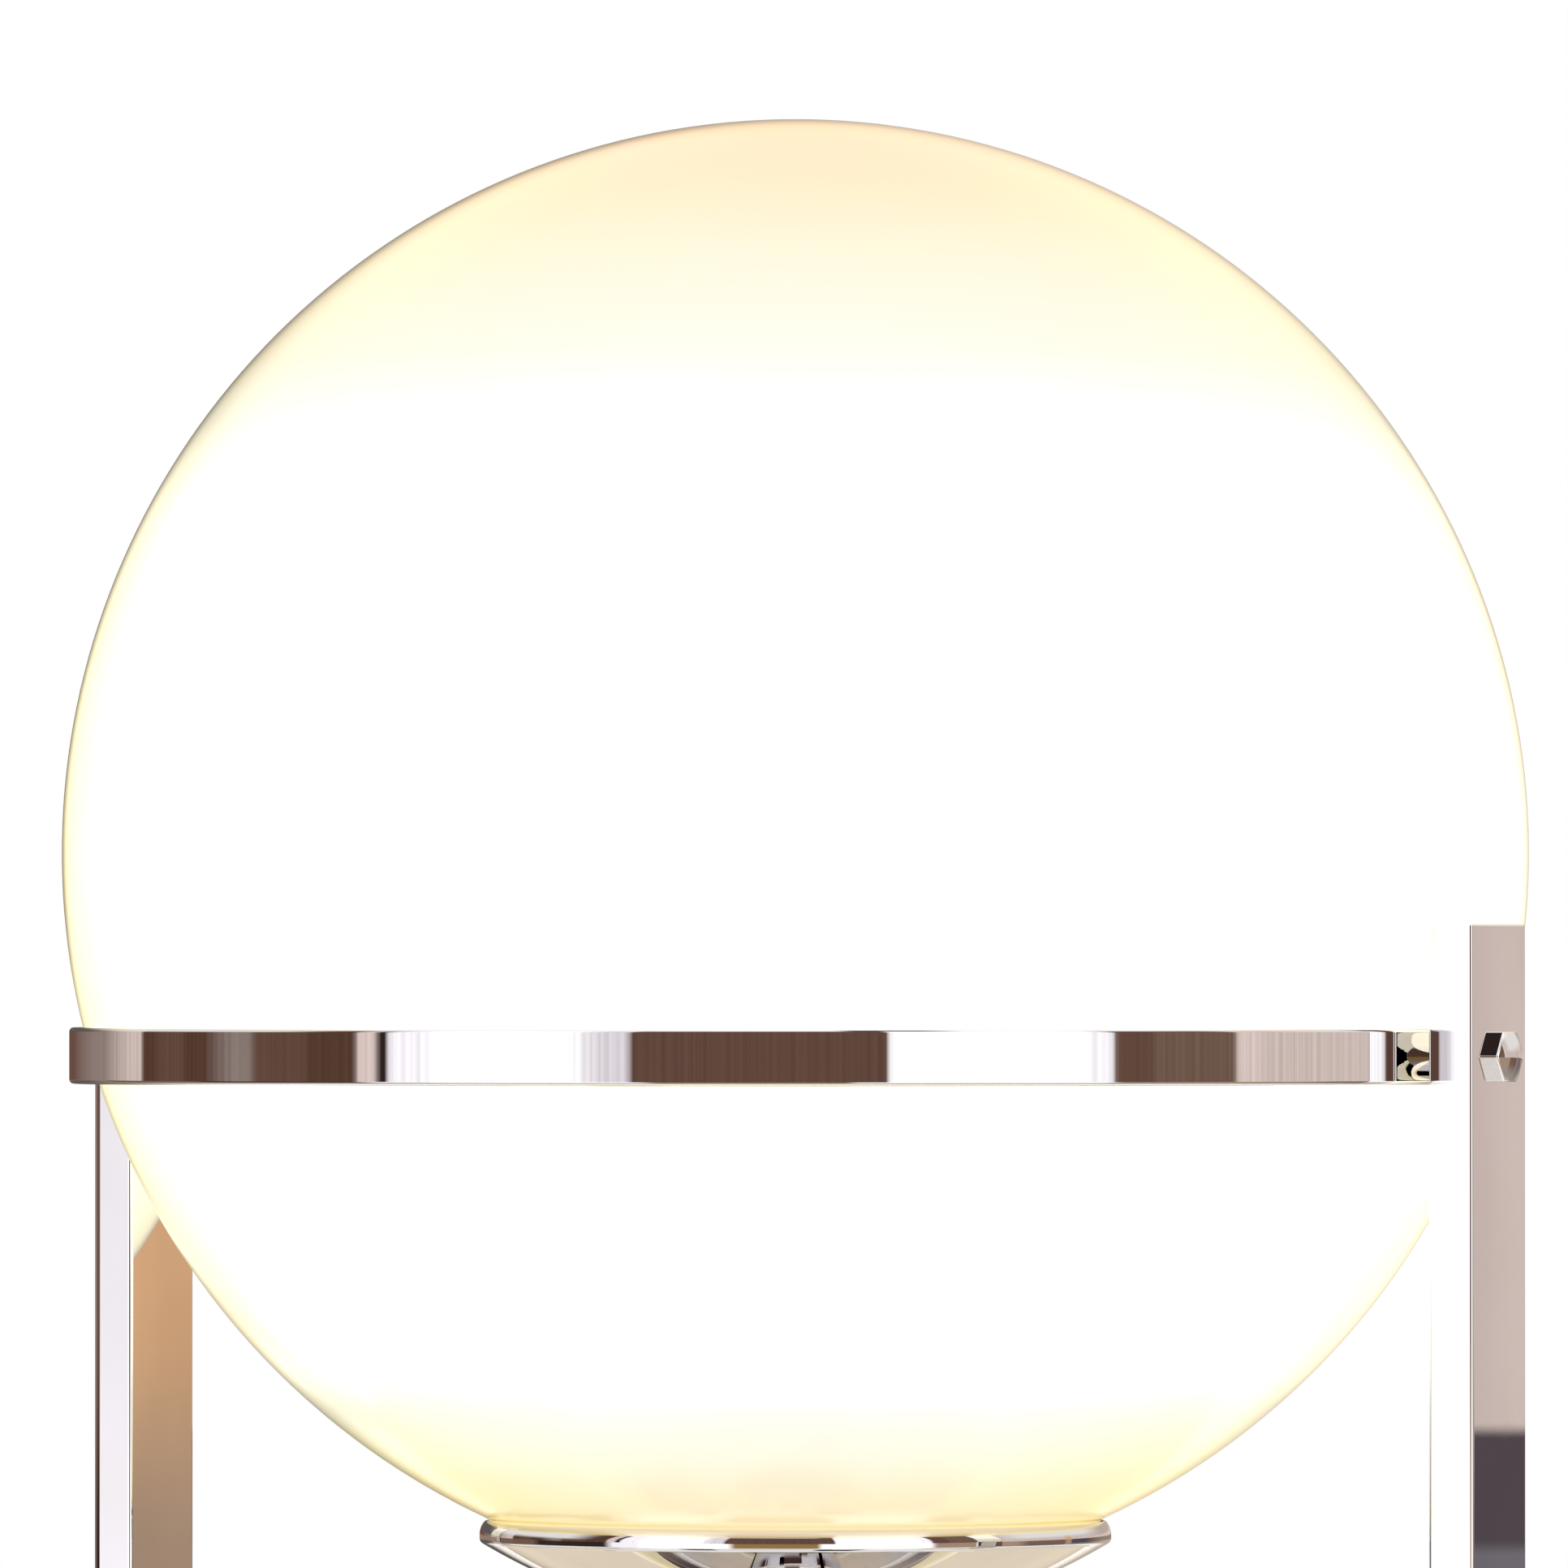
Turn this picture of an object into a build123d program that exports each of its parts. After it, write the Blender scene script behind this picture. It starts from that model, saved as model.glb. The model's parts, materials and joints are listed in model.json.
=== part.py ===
from build123d import *

import os
from math import cos, radians, sin, sqrt

# Globe table lamp. An opal glass globe rests in a chrome ring that two flat-bar legs hold above a round
# weighted base. A chrome dish on a short column closes the globe's mouth and carries the lampholder.
# Millimetres, +Z up, origin on the table under the globe's middle, legs on the X axis, cord inlet at +Y.

# Clearances
glass_clearance = 0.3
slip_fit = 0.1
running_fit = 0.06

# Counts and angles of common shapes
hexagon_side_count = 6
half_corner_angle = 30.0
earth_angle = 45.0

# Globe
globe_radius = 150.0
glass_wall = 3.0
mouth_radius = 45.0
mouth_round = 0.8

# Support ring and its soft seat
ring_drop = 41.5
ring_height = 11.5
ring_wall = 2.5
ring_round = 0.9
seat_height = 8.5

# Legs
leg_width = 25.0
leg_thickness = 10.0
leg_rise = 26.5
leg_gap = 2.0
leg_edge_round = 1.5
leg_top_round = 0.5

# Bolts and spacers between legs and ring
ring_bolt_radius = 3.0
ring_bolt_flats = 10.0
ring_bolt_hex_height = 2.0
ring_bolt_dome_height = 1.9
spacer_radius = 4.8

# Dish and its gasket
rim_radius = 64.6
lip_height = 4.5
lip_curl_radius = 4.0
lip_curl_angle = 50.0
dish_wall = 1.2
rim_round = 0.4
bowl_radius = 125.0
seat_margin = 5.0
gasket_width = 2.2

# Column and the hollow rod through it
column_radius = 16.0
column_wall = 2.0
column_height = 40.0
nipple_radius = 5.0
nipple_bore = 3.5
nipple_end = 1.5
nut_flats = 14.0
nut_height = 5.0
washer_radius = 11.0
washer_thickness = 1.5

# Lampholder
cap_radius = 17.0
cap_wall = 2.0
cap_floor = 3.0
cap_flange_height = 3.0
cap_ledge = 2.0
wire_room = 5.0
insert_thickness = 8.0
insert_proud = 2.0
terminal_depth = 3.0
thread_height = 22.0
thread_wall = 0.6
thread_play = 0.4
sleeve_wall = 1.8
sleeve_rise = 1.0
contact_width = 8.0
contact_sheet = 0.8
contact_radius = 2.5
contact_rise = 2.0

# Bulb
bulb_radius = 30.0
bulb_glass_wall = 1.2
bulb_collar_radius = 28.5
bulb_body_height = 30.0
bulb_body_wall = 2.0
bulb_neck_radius = 14.5
bulb_cap_radius = 13.1
bulb_cap_height = 20.0
bulb_cap_wall = 0.8
bulb_tip_radius = 4.5
bulb_tip_height = 2.0
bulb_insulator_height = 4.0
bulb_board_thickness = 1.6

# Base
base_margin = 8.0
base_height = 22.0
base_wall = 1.5
base_edge_round = 6.0
pad_thickness = 2.0
pad_inset = 12.0
cover_thickness = 1.5
cover_gap = 0.3
weight_thickness = 8.0
weight_inner_radius = 100.0
weight_gap = 2.0
boss_radius = 6.0
boss_count = 4
boss_start_angle = 45.0
cover_screw_radius = 2.0
cover_screw_length = 14.0
pad_hole_margin = 1.5

# Bolts of the legs
leg_bolt_radius = 2.5
leg_bolt_spacing = 13.0
leg_bolt_grip = 12.0
leg_bolt_spare = 2.0
leg_bolt_head_radius = 4.25
leg_bolt_head_height = 5.0
leg_bolt_key_flats = 4.0
leg_bolt_key_depth = 2.5

# Dimmer
dimmer_inset = 42.0
dimmer_width = 26.0
dimmer_height = 11.0
dimmer_room = 2.0
bushing_radius = 5.0
bushing_rise = 6.0
bushing_root = 3.0
dimmer_nut_flats = 14.0
dimmer_nut_height = 2.5
shaft_radius = 3.0
shaft_root = 4.0
knob_radius = 12.0
knob_height = 15.0
knob_gap = 0.6
knob_hollow_radius = 9.5
knob_hollow_depth = 7.0
knob_top = 3.0
knob_round = 1.0
flute_radius = 0.9
flute_count = 24
pointer_width = 1.4
pointer_depth = 0.8

# Cord inlet
inlet_bore = 3.75
inlet_radius = 5.0
inlet_length = 16.0
inlet_flange_radius = 7.0
inlet_flange = 1.2
inlet_nut_flats = 13.0
inlet_nut_height = 4.0
inlet_channel_room = 1.5

# Terminal block, earth tag and wires
block_reach = 62.0
block_length = 34.0
block_depth = 18.0
block_height = 11.0
block_pitch = 11.0
block_row_spacing = 9.0
block_ways = 3
terminal_screw_radius = 2.2
terminal_screw_height = 3.5
terminal_well_depth = 4.0
terminal_slot_width = 0.8
terminal_slot_depth = 0.8
earth_inset = 9.0
earth_screw_radius = 2.0
earth_screw_length = 6.0
earth_head_radius = 3.6
earth_head_height = 2.4
earth_tag_width = 7.0
earth_tag_sheet = 0.8
earth_run = 4.3
wire_radius = 0.9
wire_offset = 1.6
wire_level_above_cover = 4.5
wire_stub = 8.0
wire_slope_run = 13.0
wire_bend = 4.0
feed_offset = 11.0

# Levels of the base, from the table up
cover_top = pad_thickness + cover_thickness
base_top = pad_thickness + base_height
deck_under = base_top - base_wall
weight_under = deck_under - weight_thickness
inlet_level = (cover_top + base_top - base_edge_round) / 2
wire_level = cover_top + wire_level_above_cover
terminal_level = deck_under - block_height / 2

# Levels of the dish and the globe that sits on it
seat_radius = column_radius + seat_margin
dish_seat = base_top + column_height
dish_floor = dish_seat + dish_wall
bowl_centre = dish_seat + sqrt(bowl_radius**2 - seat_radius**2)
bowl_inner_radius = bowl_radius - dish_wall
lip_bottom = bowl_centre - sqrt(bowl_radius**2 - rim_radius**2)
rim_top = lip_bottom + lip_height
rim_inner = rim_radius - dish_wall
curl_angle = radians(lip_curl_angle)
curl_middle = rim_radius - lip_curl_radius
curl_level = rim_top - lip_curl_radius * sin(curl_angle)
curl_tip = curl_middle + lip_curl_radius * cos(curl_angle)
globe_centre = rim_top + glass_clearance + sqrt(globe_radius**2 - curl_tip**2)

# Ring, legs and base edge, outwards from the globe
ring_middle = globe_centre - ring_drop
ring_bottom = ring_middle - ring_height / 2
ring_inner = sqrt(globe_radius**2 - (ring_drop - ring_height / 2) ** 2) + glass_clearance
ring_outer = ring_inner + ring_wall
leg_inner = globe_radius + leg_gap
leg_centre = leg_inner + leg_thickness / 2
leg_outer = leg_inner + leg_thickness
leg_top = ring_middle + leg_rise
base_radius = leg_outer + base_margin
base_inner = base_radius - base_wall
dimmer_reach = base_radius - dimmer_inset
weight_outer = base_inner - weight_gap
boss_circle = (weight_inner_radius + weight_outer) / 2

# Levels of the lampholder and the bulb
holder_bottom = dish_floor + washer_thickness + nut_height
insert_bottom = holder_bottom + cap_floor + wire_room
insert_top = insert_bottom + insert_thickness
cap_top = insert_top - insert_proud
nipple_top = holder_bottom + cap_floor + nipple_end
nipple_bottom = deck_under - washer_thickness - nut_height - nipple_end
insert_radius = cap_radius - cap_wall
thread_inner = bulb_cap_radius + thread_play
thread_outer = thread_inner + thread_wall
sleeve_inner = cap_radius + slip_fit
sleeve_outer = sleeve_inner + sleeve_wall
sleeve_bottom = holder_bottom + cap_flange_height
sleeve_top = insert_top + thread_height + sleeve_rise
contact_top = insert_top + contact_sheet + contact_rise
tip_bottom = contact_top + glass_clearance
insulator_bottom = tip_bottom + bulb_tip_height
bulb_cap_bottom = insulator_bottom + bulb_insulator_height
bulb_body_bottom = bulb_cap_bottom + bulb_cap_height
bulb_collar = bulb_body_bottom + bulb_body_height
bulb_glass_centre = bulb_collar + sqrt(bulb_radius**2 - bulb_collar_radius**2)

# Repeated placings
both_sides = (1, -1)
wire_top = insert_bottom + terminal_depth - slip_fit
block_front = block_reach - block_depth / 2
dimmer_back = -dimmer_reach + dimmer_width / 2
earth_corner = Vector(block_reach, block_reach)
earth_tail = earth_corner.length + earth_run
earth_reach = weight_inner_radius + earth_inset
earth_plane = Plane.XY.rotated((0, 0, earth_angle))


def save(piece, name):
    """Label a finished piece and write it to a file of its own."""
    piece.part.label = name
    export_step(piece.part, f"parts/{name}.step")


def sphere_drop(radius, reach):
    """Depth of a sphere's lower surface below its centre, at a distance from its axis."""
    return sqrt(radius**2 - reach**2)


def corner_radius(flats):
    """Distance of a hexagon's corners from its middle, for a width across flats."""
    return flats / 2 / cos(radians(half_corner_angle))


os.makedirs("parts", exist_ok=True)

# Globe: a blown ball with a cut and ground mouth
glass_inner = globe_radius - glass_wall
with BuildPart() as globe:
    with BuildSketch(Plane.XZ) as glass_section:
        with BuildLine():
            outer_arc = ThreePointArc(
                (mouth_radius, globe_centre - sphere_drop(globe_radius, mouth_radius)),
                (globe_radius, globe_centre),
                (0, globe_centre + globe_radius),
            )
            inner_arc = ThreePointArc(
                (mouth_radius, globe_centre - sphere_drop(glass_inner, mouth_radius)),
                (glass_inner, globe_centre),
                (0, globe_centre + glass_inner),
            )
            Line(outer_arc @ 1, inner_arc @ 1)
            Line(outer_arc @ 0, inner_arc @ 0)
        make_face()
        fillet(glass_section.vertices().sort_by(Axis.Y)[:2], mouth_round)
    revolve(axis=Axis.Z)
save(globe, "globe")

# Support ring: a flat band rolled to a hoop, tapped on both sides for the bolts
with BuildPart() as support_ring:
    with BuildSketch(Plane.XZ):
        with Locations((ring_inner + ring_wall / 2, ring_middle)):
            RectangleRounded(ring_wall, ring_height, ring_round)
    revolve(axis=Axis.Z)
    with Locations(Plane((0, 0, ring_middle), x_dir=(0, 1, 0), z_dir=(1, 0, 0))):
        Hole(ring_bolt_radius + slip_fit, depth=2 * ring_outer)
save(support_ring, "support_ring")

# Ring seat: a soft wedge inside the band, its inner face hollowed to the glass
seat_top = ring_bottom + seat_height
seat_sphere = globe_radius + glass_clearance
seat_outer = ring_inner - slip_fit
seat_middle = (seat_top + ring_bottom) / 2
with BuildPart() as ring_seat:
    with BuildSketch(Plane.XZ):
        with BuildLine():
            seat_arc = ThreePointArc(
                (sphere_drop(seat_sphere, globe_centre - ring_bottom), ring_bottom),
                (sphere_drop(seat_sphere, globe_centre - seat_middle), seat_middle),
                (sphere_drop(seat_sphere, globe_centre - seat_top), seat_top),
            )
            Polyline(seat_arc @ 1, (seat_outer, seat_top), (seat_outer, ring_bottom), seat_arc @ 0)
        make_face()
    revolve(axis=Axis.Z)
save(ring_seat, "ring_seat")

# Legs: polished flat bars, drilled for the ring's bolt and tapped at the foot
leg_hole_depth = leg_bolt_grip + leg_bolt_spare
for leg_name, side in (("leg_right", 1), ("leg_left", -1)):
    with BuildPart() as leg:
        with BuildSketch(Plane.XY.offset(base_top)):
            with Locations((side * leg_centre, 0)):
                Rectangle(leg_thickness, leg_width)
        extrude(amount=leg_top - base_top)
        fillet(leg.edges().filter_by(Axis.Z), leg_edge_round)
        fillet(leg.faces().sort_by(Axis.Z)[-1].edges(), leg_top_round)
        with Locations(Plane((side * leg_centre, 0, ring_middle), x_dir=(0, 1, 0), z_dir=(1, 0, 0))):
            Hole(ring_bolt_radius + slip_fit, depth=leg_thickness)
        with Locations(Plane.XY.offset(base_top)):
            with Locations((side * leg_centre, 0)):
                with GridLocations(0, leg_bolt_spacing, 1, 2):
                    Hole(leg_bolt_radius + slip_fit, depth=leg_hole_depth)
    save(leg, leg_name)

# Ring bolts: domed hex heads on the legs' outer faces, ending flush in the band
ring_bolt_corner = corner_radius(ring_bolt_flats)
ring_bolt_head = ring_bolt_hex_height + ring_bolt_dome_height
dome_radius = (ring_bolt_corner**2 + ring_bolt_dome_height**2) / (2 * ring_bolt_dome_height)
dome_centre = ring_bolt_head - dome_radius
dome_middle = ring_bolt_corner / 2
with BuildPart() as ring_bolt:
    with BuildSketch():
        RegularPolygon(ring_bolt_flats / 2, hexagon_side_count, major_radius=False)
    extrude(amount=ring_bolt_head)
    with BuildSketch(Plane.XZ):
        with BuildLine():
            dome_arc = ThreePointArc(
                (ring_bolt_corner, ring_bolt_hex_height),
                (dome_middle, dome_centre + sphere_drop(dome_radius, dome_middle)),
                (0, ring_bolt_head),
            )
            Polyline(dome_arc @ 1, (0, 0), (ring_bolt_corner, 0), dome_arc @ 0)
        make_face()
    revolve(axis=Axis.Z, mode=Mode.INTERSECT)
    Cylinder(
        ring_bolt_radius,
        leg_outer - ring_inner - slip_fit,
        align=(Align.CENTER, Align.CENTER, Align.MAX),
    )
with BuildPart() as ring_bolts:
    for side in both_sides:
        with Locations(Plane((side * leg_outer, 0, ring_middle), x_dir=(0, side, 0), z_dir=(side, 0, 0))):
            add(ring_bolt.part)
save(ring_bolts, "ring_bolts")

# Ring spacers: sleeves on the bolts, hollowed to the band
with BuildPart() as ring_spacers:
    for side in both_sides:
        with Locations(Plane((side * leg_inner, 0, ring_middle), x_dir=(0, side, 0), z_dir=(-side, 0, 0))):
            Cylinder(
                spacer_radius,
                leg_inner - sphere_drop(ring_outer, spacer_radius),
                align=(Align.CENTER, Align.CENTER, Align.MIN),
            )
            Hole(ring_bolt_radius + slip_fit, depth=leg_inner - ring_inner)
    with Locations((0, 0, ring_middle)):
        Cylinder(ring_outer, 2 * spacer_radius + ring_height, mode=Mode.SUBTRACT)
save(ring_spacers, "ring_spacers")

# Dish: a spun bowl with a flat seat and a short lip that curls in towards the glass
inner_lip_bottom = bowl_centre - sphere_drop(bowl_inner_radius, rim_inner)
inner_seat_radius = sphere_drop(bowl_inner_radius, bowl_centre - dish_floor)
bowl_middle = (seat_radius + rim_radius) / 2
inner_curl_radius = lip_curl_radius - dish_wall
with BuildPart() as dish:
    with BuildSketch(Plane.XZ):
        with BuildLine():
            outer_bowl = ThreePointArc(
                (seat_radius, dish_seat),
                (bowl_middle, bowl_centre - sphere_drop(bowl_radius, bowl_middle)),
                (rim_radius, lip_bottom),
            )
            inner_bowl = ThreePointArc(
                (inner_seat_radius, dish_floor),
                (bowl_middle, bowl_centre - sphere_drop(bowl_inner_radius, bowl_middle)),
                (rim_inner, inner_lip_bottom),
            )
            outer_curl = CenterArc((curl_middle, curl_level), lip_curl_radius, 0, lip_curl_angle)
            inner_curl = CenterArc((curl_middle, curl_level), inner_curl_radius, 0, lip_curl_angle)
            Line(outer_bowl @ 1, outer_curl @ 0)
            Line(outer_curl @ 1, inner_curl @ 1)
            Line(inner_curl @ 0, inner_bowl @ 1)
            Polyline(
                outer_bowl @ 0,
                (nipple_radius + slip_fit, dish_seat),
                (nipple_radius + slip_fit, dish_floor),
                inner_bowl @ 0,
            )
        make_face()
    revolve(axis=Axis.Z)
    tip_edges = dish.edges().filter_by(GeomType.CIRCLE).sort_by(Axis.Z)[-2:]
    fillet(tip_edges, rim_round)
save(dish, "dish")

# Dish gasket: a soft ring inside the lip, under the glass
gasket_outer = curl_tip - dish_wall * cos(curl_angle) - slip_fit
gasket_inner = gasket_outer - gasket_width
gasket_bowl = bowl_inner_radius - slip_fit
with BuildPart() as dish_gasket:
    with BuildSketch(Plane.XZ):
        with BuildLine():
            Polyline(
                (gasket_inner, bowl_centre - sphere_drop(gasket_bowl, gasket_inner)),
                (gasket_outer, bowl_centre - sphere_drop(gasket_bowl, gasket_outer)),
                (gasket_outer, globe_centre - sphere_drop(seat_sphere, gasket_outer)),
                (gasket_inner, globe_centre - sphere_drop(seat_sphere, gasket_inner)),
                close=True,
            )
        make_face()
    revolve(axis=Axis.Z)
save(dish_gasket, "dish_gasket")

# Column: a tube between the base and the dish
with BuildPart() as column:
    with BuildSketch(Plane.XY.offset(base_top)):
        Circle(column_radius)
        Circle(column_radius - column_wall, mode=Mode.SUBTRACT)
    extrude(amount=column_height)
save(column, "column")

# Nipple: a hollow threaded rod from inside the base to the lampholder
with BuildPart() as nipple:
    with BuildSketch(Plane.XY.offset(nipple_bottom)):
        Circle(nipple_radius)
        Circle(nipple_bore, mode=Mode.SUBTRACT)
    extrude(amount=nipple_top - nipple_bottom)
save(nipple, "nipple")

# Nuts and washers of the nipple: one pair under the base's deck, one pair on the dish's floor
with BuildPart() as nipple_nuts:
    for nut_bottom in (deck_under - washer_thickness - nut_height, dish_floor + washer_thickness):
        with BuildSketch(Plane.XY.offset(nut_bottom)):
            RegularPolygon(nut_flats / 2, hexagon_side_count, major_radius=False)
            Circle(nipple_radius + slip_fit, mode=Mode.SUBTRACT)
        extrude(amount=nut_height)
save(nipple_nuts, "nipple_nuts")
with BuildPart() as nipple_washers:
    for washer_bottom in (deck_under - washer_thickness, dish_floor):
        with BuildSketch(Plane.XY.offset(washer_bottom)):
            Circle(washer_radius)
            Circle(nipple_radius + slip_fit, mode=Mode.SUBTRACT)
        extrude(amount=washer_thickness)
save(nipple_washers, "nipple_washers")

# Lampholder cap: a cup screwed on the nipple, with a ledge for the insert
with BuildPart() as holder_cap:
    with BuildSketch(Plane.XZ):
        with BuildLine():
            Polyline(
                (nipple_radius + slip_fit, holder_bottom),
                (sleeve_outer, holder_bottom),
                (sleeve_outer, sleeve_bottom),
                (cap_radius, sleeve_bottom),
                (cap_radius, cap_top),
                (insert_radius + slip_fit, cap_top),
                (insert_radius + slip_fit, insert_bottom),
                (insert_radius - cap_ledge, insert_bottom),
                (insert_radius - cap_ledge, holder_bottom + cap_floor),
                (nipple_radius + slip_fit, holder_bottom + cap_floor),
                close=True,
            )
        make_face()
    revolve(axis=Axis.Z)
save(holder_cap, "holder_cap")

# Lampholder insert: a ceramic disc with two blind holes for the wires' ends
with BuildPart() as holder_insert:
    with BuildSketch(Plane.XY.offset(insert_bottom)):
        Circle(insert_radius)
    extrude(amount=insert_thickness)
    with Locations(Plane.XY.offset(insert_bottom)):
        with GridLocations(2 * wire_offset, 0, 2, 1):
            Hole(wire_radius + slip_fit, depth=terminal_depth)
save(holder_insert, "holder_insert")

# Lampholder thread: the brass shell that the bulb screws into
with BuildPart() as holder_thread:
    with BuildSketch(Plane.XY.offset(insert_top)):
        Circle(thread_outer)
        Circle(thread_inner, mode=Mode.SUBTRACT)
    extrude(amount=thread_height)
save(holder_thread, "holder_thread")

# Lampholder contact: a brass strip with a raised button under the bulb's tip
with BuildPart() as holder_contact:
    with BuildSketch(Plane.XY.offset(insert_top)):
        Rectangle(2 * contact_width, contact_width)
    extrude(amount=contact_sheet)
    with BuildSketch(Plane.XY.offset(insert_top + contact_sheet)):
        Circle(contact_radius)
    extrude(amount=contact_rise)
save(holder_contact, "holder_contact")

# Lampholder sleeve: an outer tube with an inturned top edge
with BuildPart() as holder_sleeve:
    with BuildSketch(Plane.XZ):
        with BuildLine():
            Polyline(
                (sleeve_inner, sleeve_bottom),
                (sleeve_outer, sleeve_bottom),
                (sleeve_outer, sleeve_top),
                (thread_outer + slip_fit, sleeve_top),
                (thread_outer + slip_fit, sleeve_top - sleeve_wall),
                (sleeve_inner, sleeve_top - sleeve_wall),
                close=True,
            )
        make_face()
    revolve(axis=Axis.Z)
save(holder_sleeve, "holder_sleeve")

# Bulb glass: an open dome that sits on the body's collar
bulb_glass_inner = bulb_radius - bulb_glass_wall
with BuildPart() as bulb_glass:
    with BuildSketch(Plane.XZ):
        with BuildLine():
            outer_dome = ThreePointArc(
                (bulb_collar_radius, bulb_collar),
                (bulb_radius, bulb_glass_centre),
                (0, bulb_glass_centre + bulb_radius),
            )
            inner_dome = ThreePointArc(
                (sphere_drop(bulb_glass_inner, bulb_glass_centre - bulb_collar), bulb_collar),
                (bulb_glass_inner, bulb_glass_centre),
                (0, bulb_glass_centre + bulb_glass_inner),
            )
            Line(outer_dome @ 1, inner_dome @ 1)
            Line(outer_dome @ 0, inner_dome @ 0)
        make_face()
    revolve(axis=Axis.Z)
save(bulb_glass, "bulb_glass")

# Bulb body: a flared cup whose neck sits in the metal cap
bulb_plug_radius = bulb_cap_radius - bulb_cap_wall - slip_fit
with BuildPart() as bulb_body:
    with BuildSketch(Plane.XZ):
        with BuildLine():
            Polyline(
                (0, bulb_cap_bottom),
                (bulb_plug_radius, bulb_cap_bottom),
                (bulb_plug_radius, bulb_body_bottom),
                (bulb_neck_radius, bulb_body_bottom),
                (bulb_collar_radius, bulb_collar),
                (bulb_collar_radius - bulb_body_wall, bulb_collar),
                (bulb_neck_radius - bulb_body_wall, bulb_body_bottom + bulb_body_wall),
                (0, bulb_body_bottom + bulb_body_wall),
                close=True,
            )
        make_face()
    revolve(axis=Axis.Z)
save(bulb_body, "bulb_body")

# Bulb board: the lit disc inside the collar, resting on the body's flare
board_slope = (bulb_collar_radius - bulb_neck_radius) / (bulb_body_height - bulb_body_wall)
board_radius = bulb_collar_radius - bulb_body_wall - board_slope * bulb_board_thickness - slip_fit
with BuildPart() as bulb_board:
    with BuildSketch(Plane.XY.offset(bulb_collar - bulb_board_thickness)):
        Circle(board_radius)
    extrude(amount=bulb_board_thickness)
save(bulb_board, "bulb_board")

# Bulb cap, insulator and tip
with BuildPart() as bulb_cap:
    with BuildSketch(Plane.XY.offset(bulb_cap_bottom)):
        Circle(bulb_cap_radius)
        Circle(bulb_cap_radius - bulb_cap_wall, mode=Mode.SUBTRACT)
    extrude(amount=bulb_cap_height)
save(bulb_cap, "bulb_cap")
with BuildPart() as bulb_insulator:
    with BuildSketch(Plane.XZ):
        with BuildLine():
            Polyline(
                (0, insulator_bottom),
                (bulb_tip_radius, insulator_bottom),
                (bulb_cap_radius, bulb_cap_bottom),
                (0, bulb_cap_bottom),
                close=True,
            )
        make_face()
    revolve(axis=Axis.Z)
save(bulb_insulator, "bulb_insulator")
with BuildPart() as bulb_tip:
    with BuildSketch(Plane.XY.offset(tip_bottom)):
        Circle(bulb_tip_radius)
    extrude(amount=bulb_tip_height)
    fillet(bulb_tip.faces().sort_by(Axis.Z)[0].edges(), bulb_tip_height / 2)
save(bulb_tip, "bulb_tip")

# Base shell: a pressed disc with a rounded edge and an upright skirt
dimmer_plane = Plane((0, -dimmer_reach, base_top))
inlet_plane = Plane((0, base_radius, inlet_level), x_dir=(1, 0, 0), z_dir=(0, 1, 0))
with BuildPart() as base_shell:
    with BuildSketch(Plane.XZ) as shell_section:
        with BuildLine():
            Polyline(
                (nipple_radius + slip_fit, base_top),
                (base_radius, base_top),
                (base_radius, pad_thickness),
                (base_inner, pad_thickness),
                (base_inner, deck_under),
                (nipple_radius + slip_fit, deck_under),
                close=True,
            )
        make_face()
        outer_corner = shell_section.vertices().group_by(Axis.X)[-1].sort_by(Axis.Y)[-1]
        fillet(outer_corner, base_edge_round)
        inner_corner = shell_section.vertices().group_by(Axis.X)[-2].sort_by(Axis.Y)[-1]
        fillet(inner_corner, base_edge_round - base_wall)
    revolve(axis=Axis.Z)
    with Locations(Plane.XY.offset(base_top)):
        with GridLocations(2 * leg_centre, leg_bolt_spacing, 2, 2):
            Hole(leg_bolt_radius + slip_fit, depth=2 * base_wall)
    with Locations(dimmer_plane):
        Hole(bushing_radius + slip_fit, depth=2 * base_wall)
    with Locations(inlet_plane):
        Hole(inlet_radius + slip_fit, depth=inlet_length)
save(base_shell, "base_shell")

# Base weight: a cast disc under the deck, open at the back for the cord and at the front for the dimmer
channel_width = 2 * (corner_radius(inlet_nut_flats) + inlet_channel_room)
pocket_width = dimmer_width + 2 * dimmer_room
pocket_reach = dimmer_reach + pocket_width / 2
with BuildPart() as base_weight:
    with BuildSketch(Plane.XY.offset(weight_under)):
        Circle(weight_outer)
        Circle(weight_inner_radius, mode=Mode.SUBTRACT)
        Rectangle(channel_width, weight_outer, align=(Align.CENTER, Align.MIN), mode=Mode.SUBTRACT)
        Rectangle(pocket_width, pocket_reach, align=(Align.CENTER, Align.MAX), mode=Mode.SUBTRACT)
    extrude(amount=weight_thickness)
    upper_arcs = base_weight.edges().filter_by(GeomType.CIRCLE).group_by(Axis.Z)[-1]
    fillet(upper_arcs.sort_by(SortBy.RADIUS)[-1], base_edge_round)
    with BuildSketch(Plane.XY.offset(cover_top)):
        with PolarLocations(boss_circle, boss_count, start_angle=boss_start_angle):
            Circle(boss_radius)
    extrude(amount=weight_under - cover_top)
    with Locations(Plane.XY.offset(cover_top)):
        with PolarLocations(boss_circle, boss_count, start_angle=boss_start_angle):
            Hole(cover_screw_radius + slip_fit, depth=cover_screw_length)
    with Locations(Plane.XY.offset(weight_under)):
        with GridLocations(2 * leg_centre, leg_bolt_spacing, 2, 2):
            Hole(leg_bolt_radius + slip_fit, depth=2 * weight_thickness)
    with Locations(earth_plane.offset(weight_under)):
        with Locations((earth_reach, 0)):
            Hole(earth_screw_radius + slip_fit, depth=earth_screw_length)
save(base_weight, "base_weight")

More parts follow.
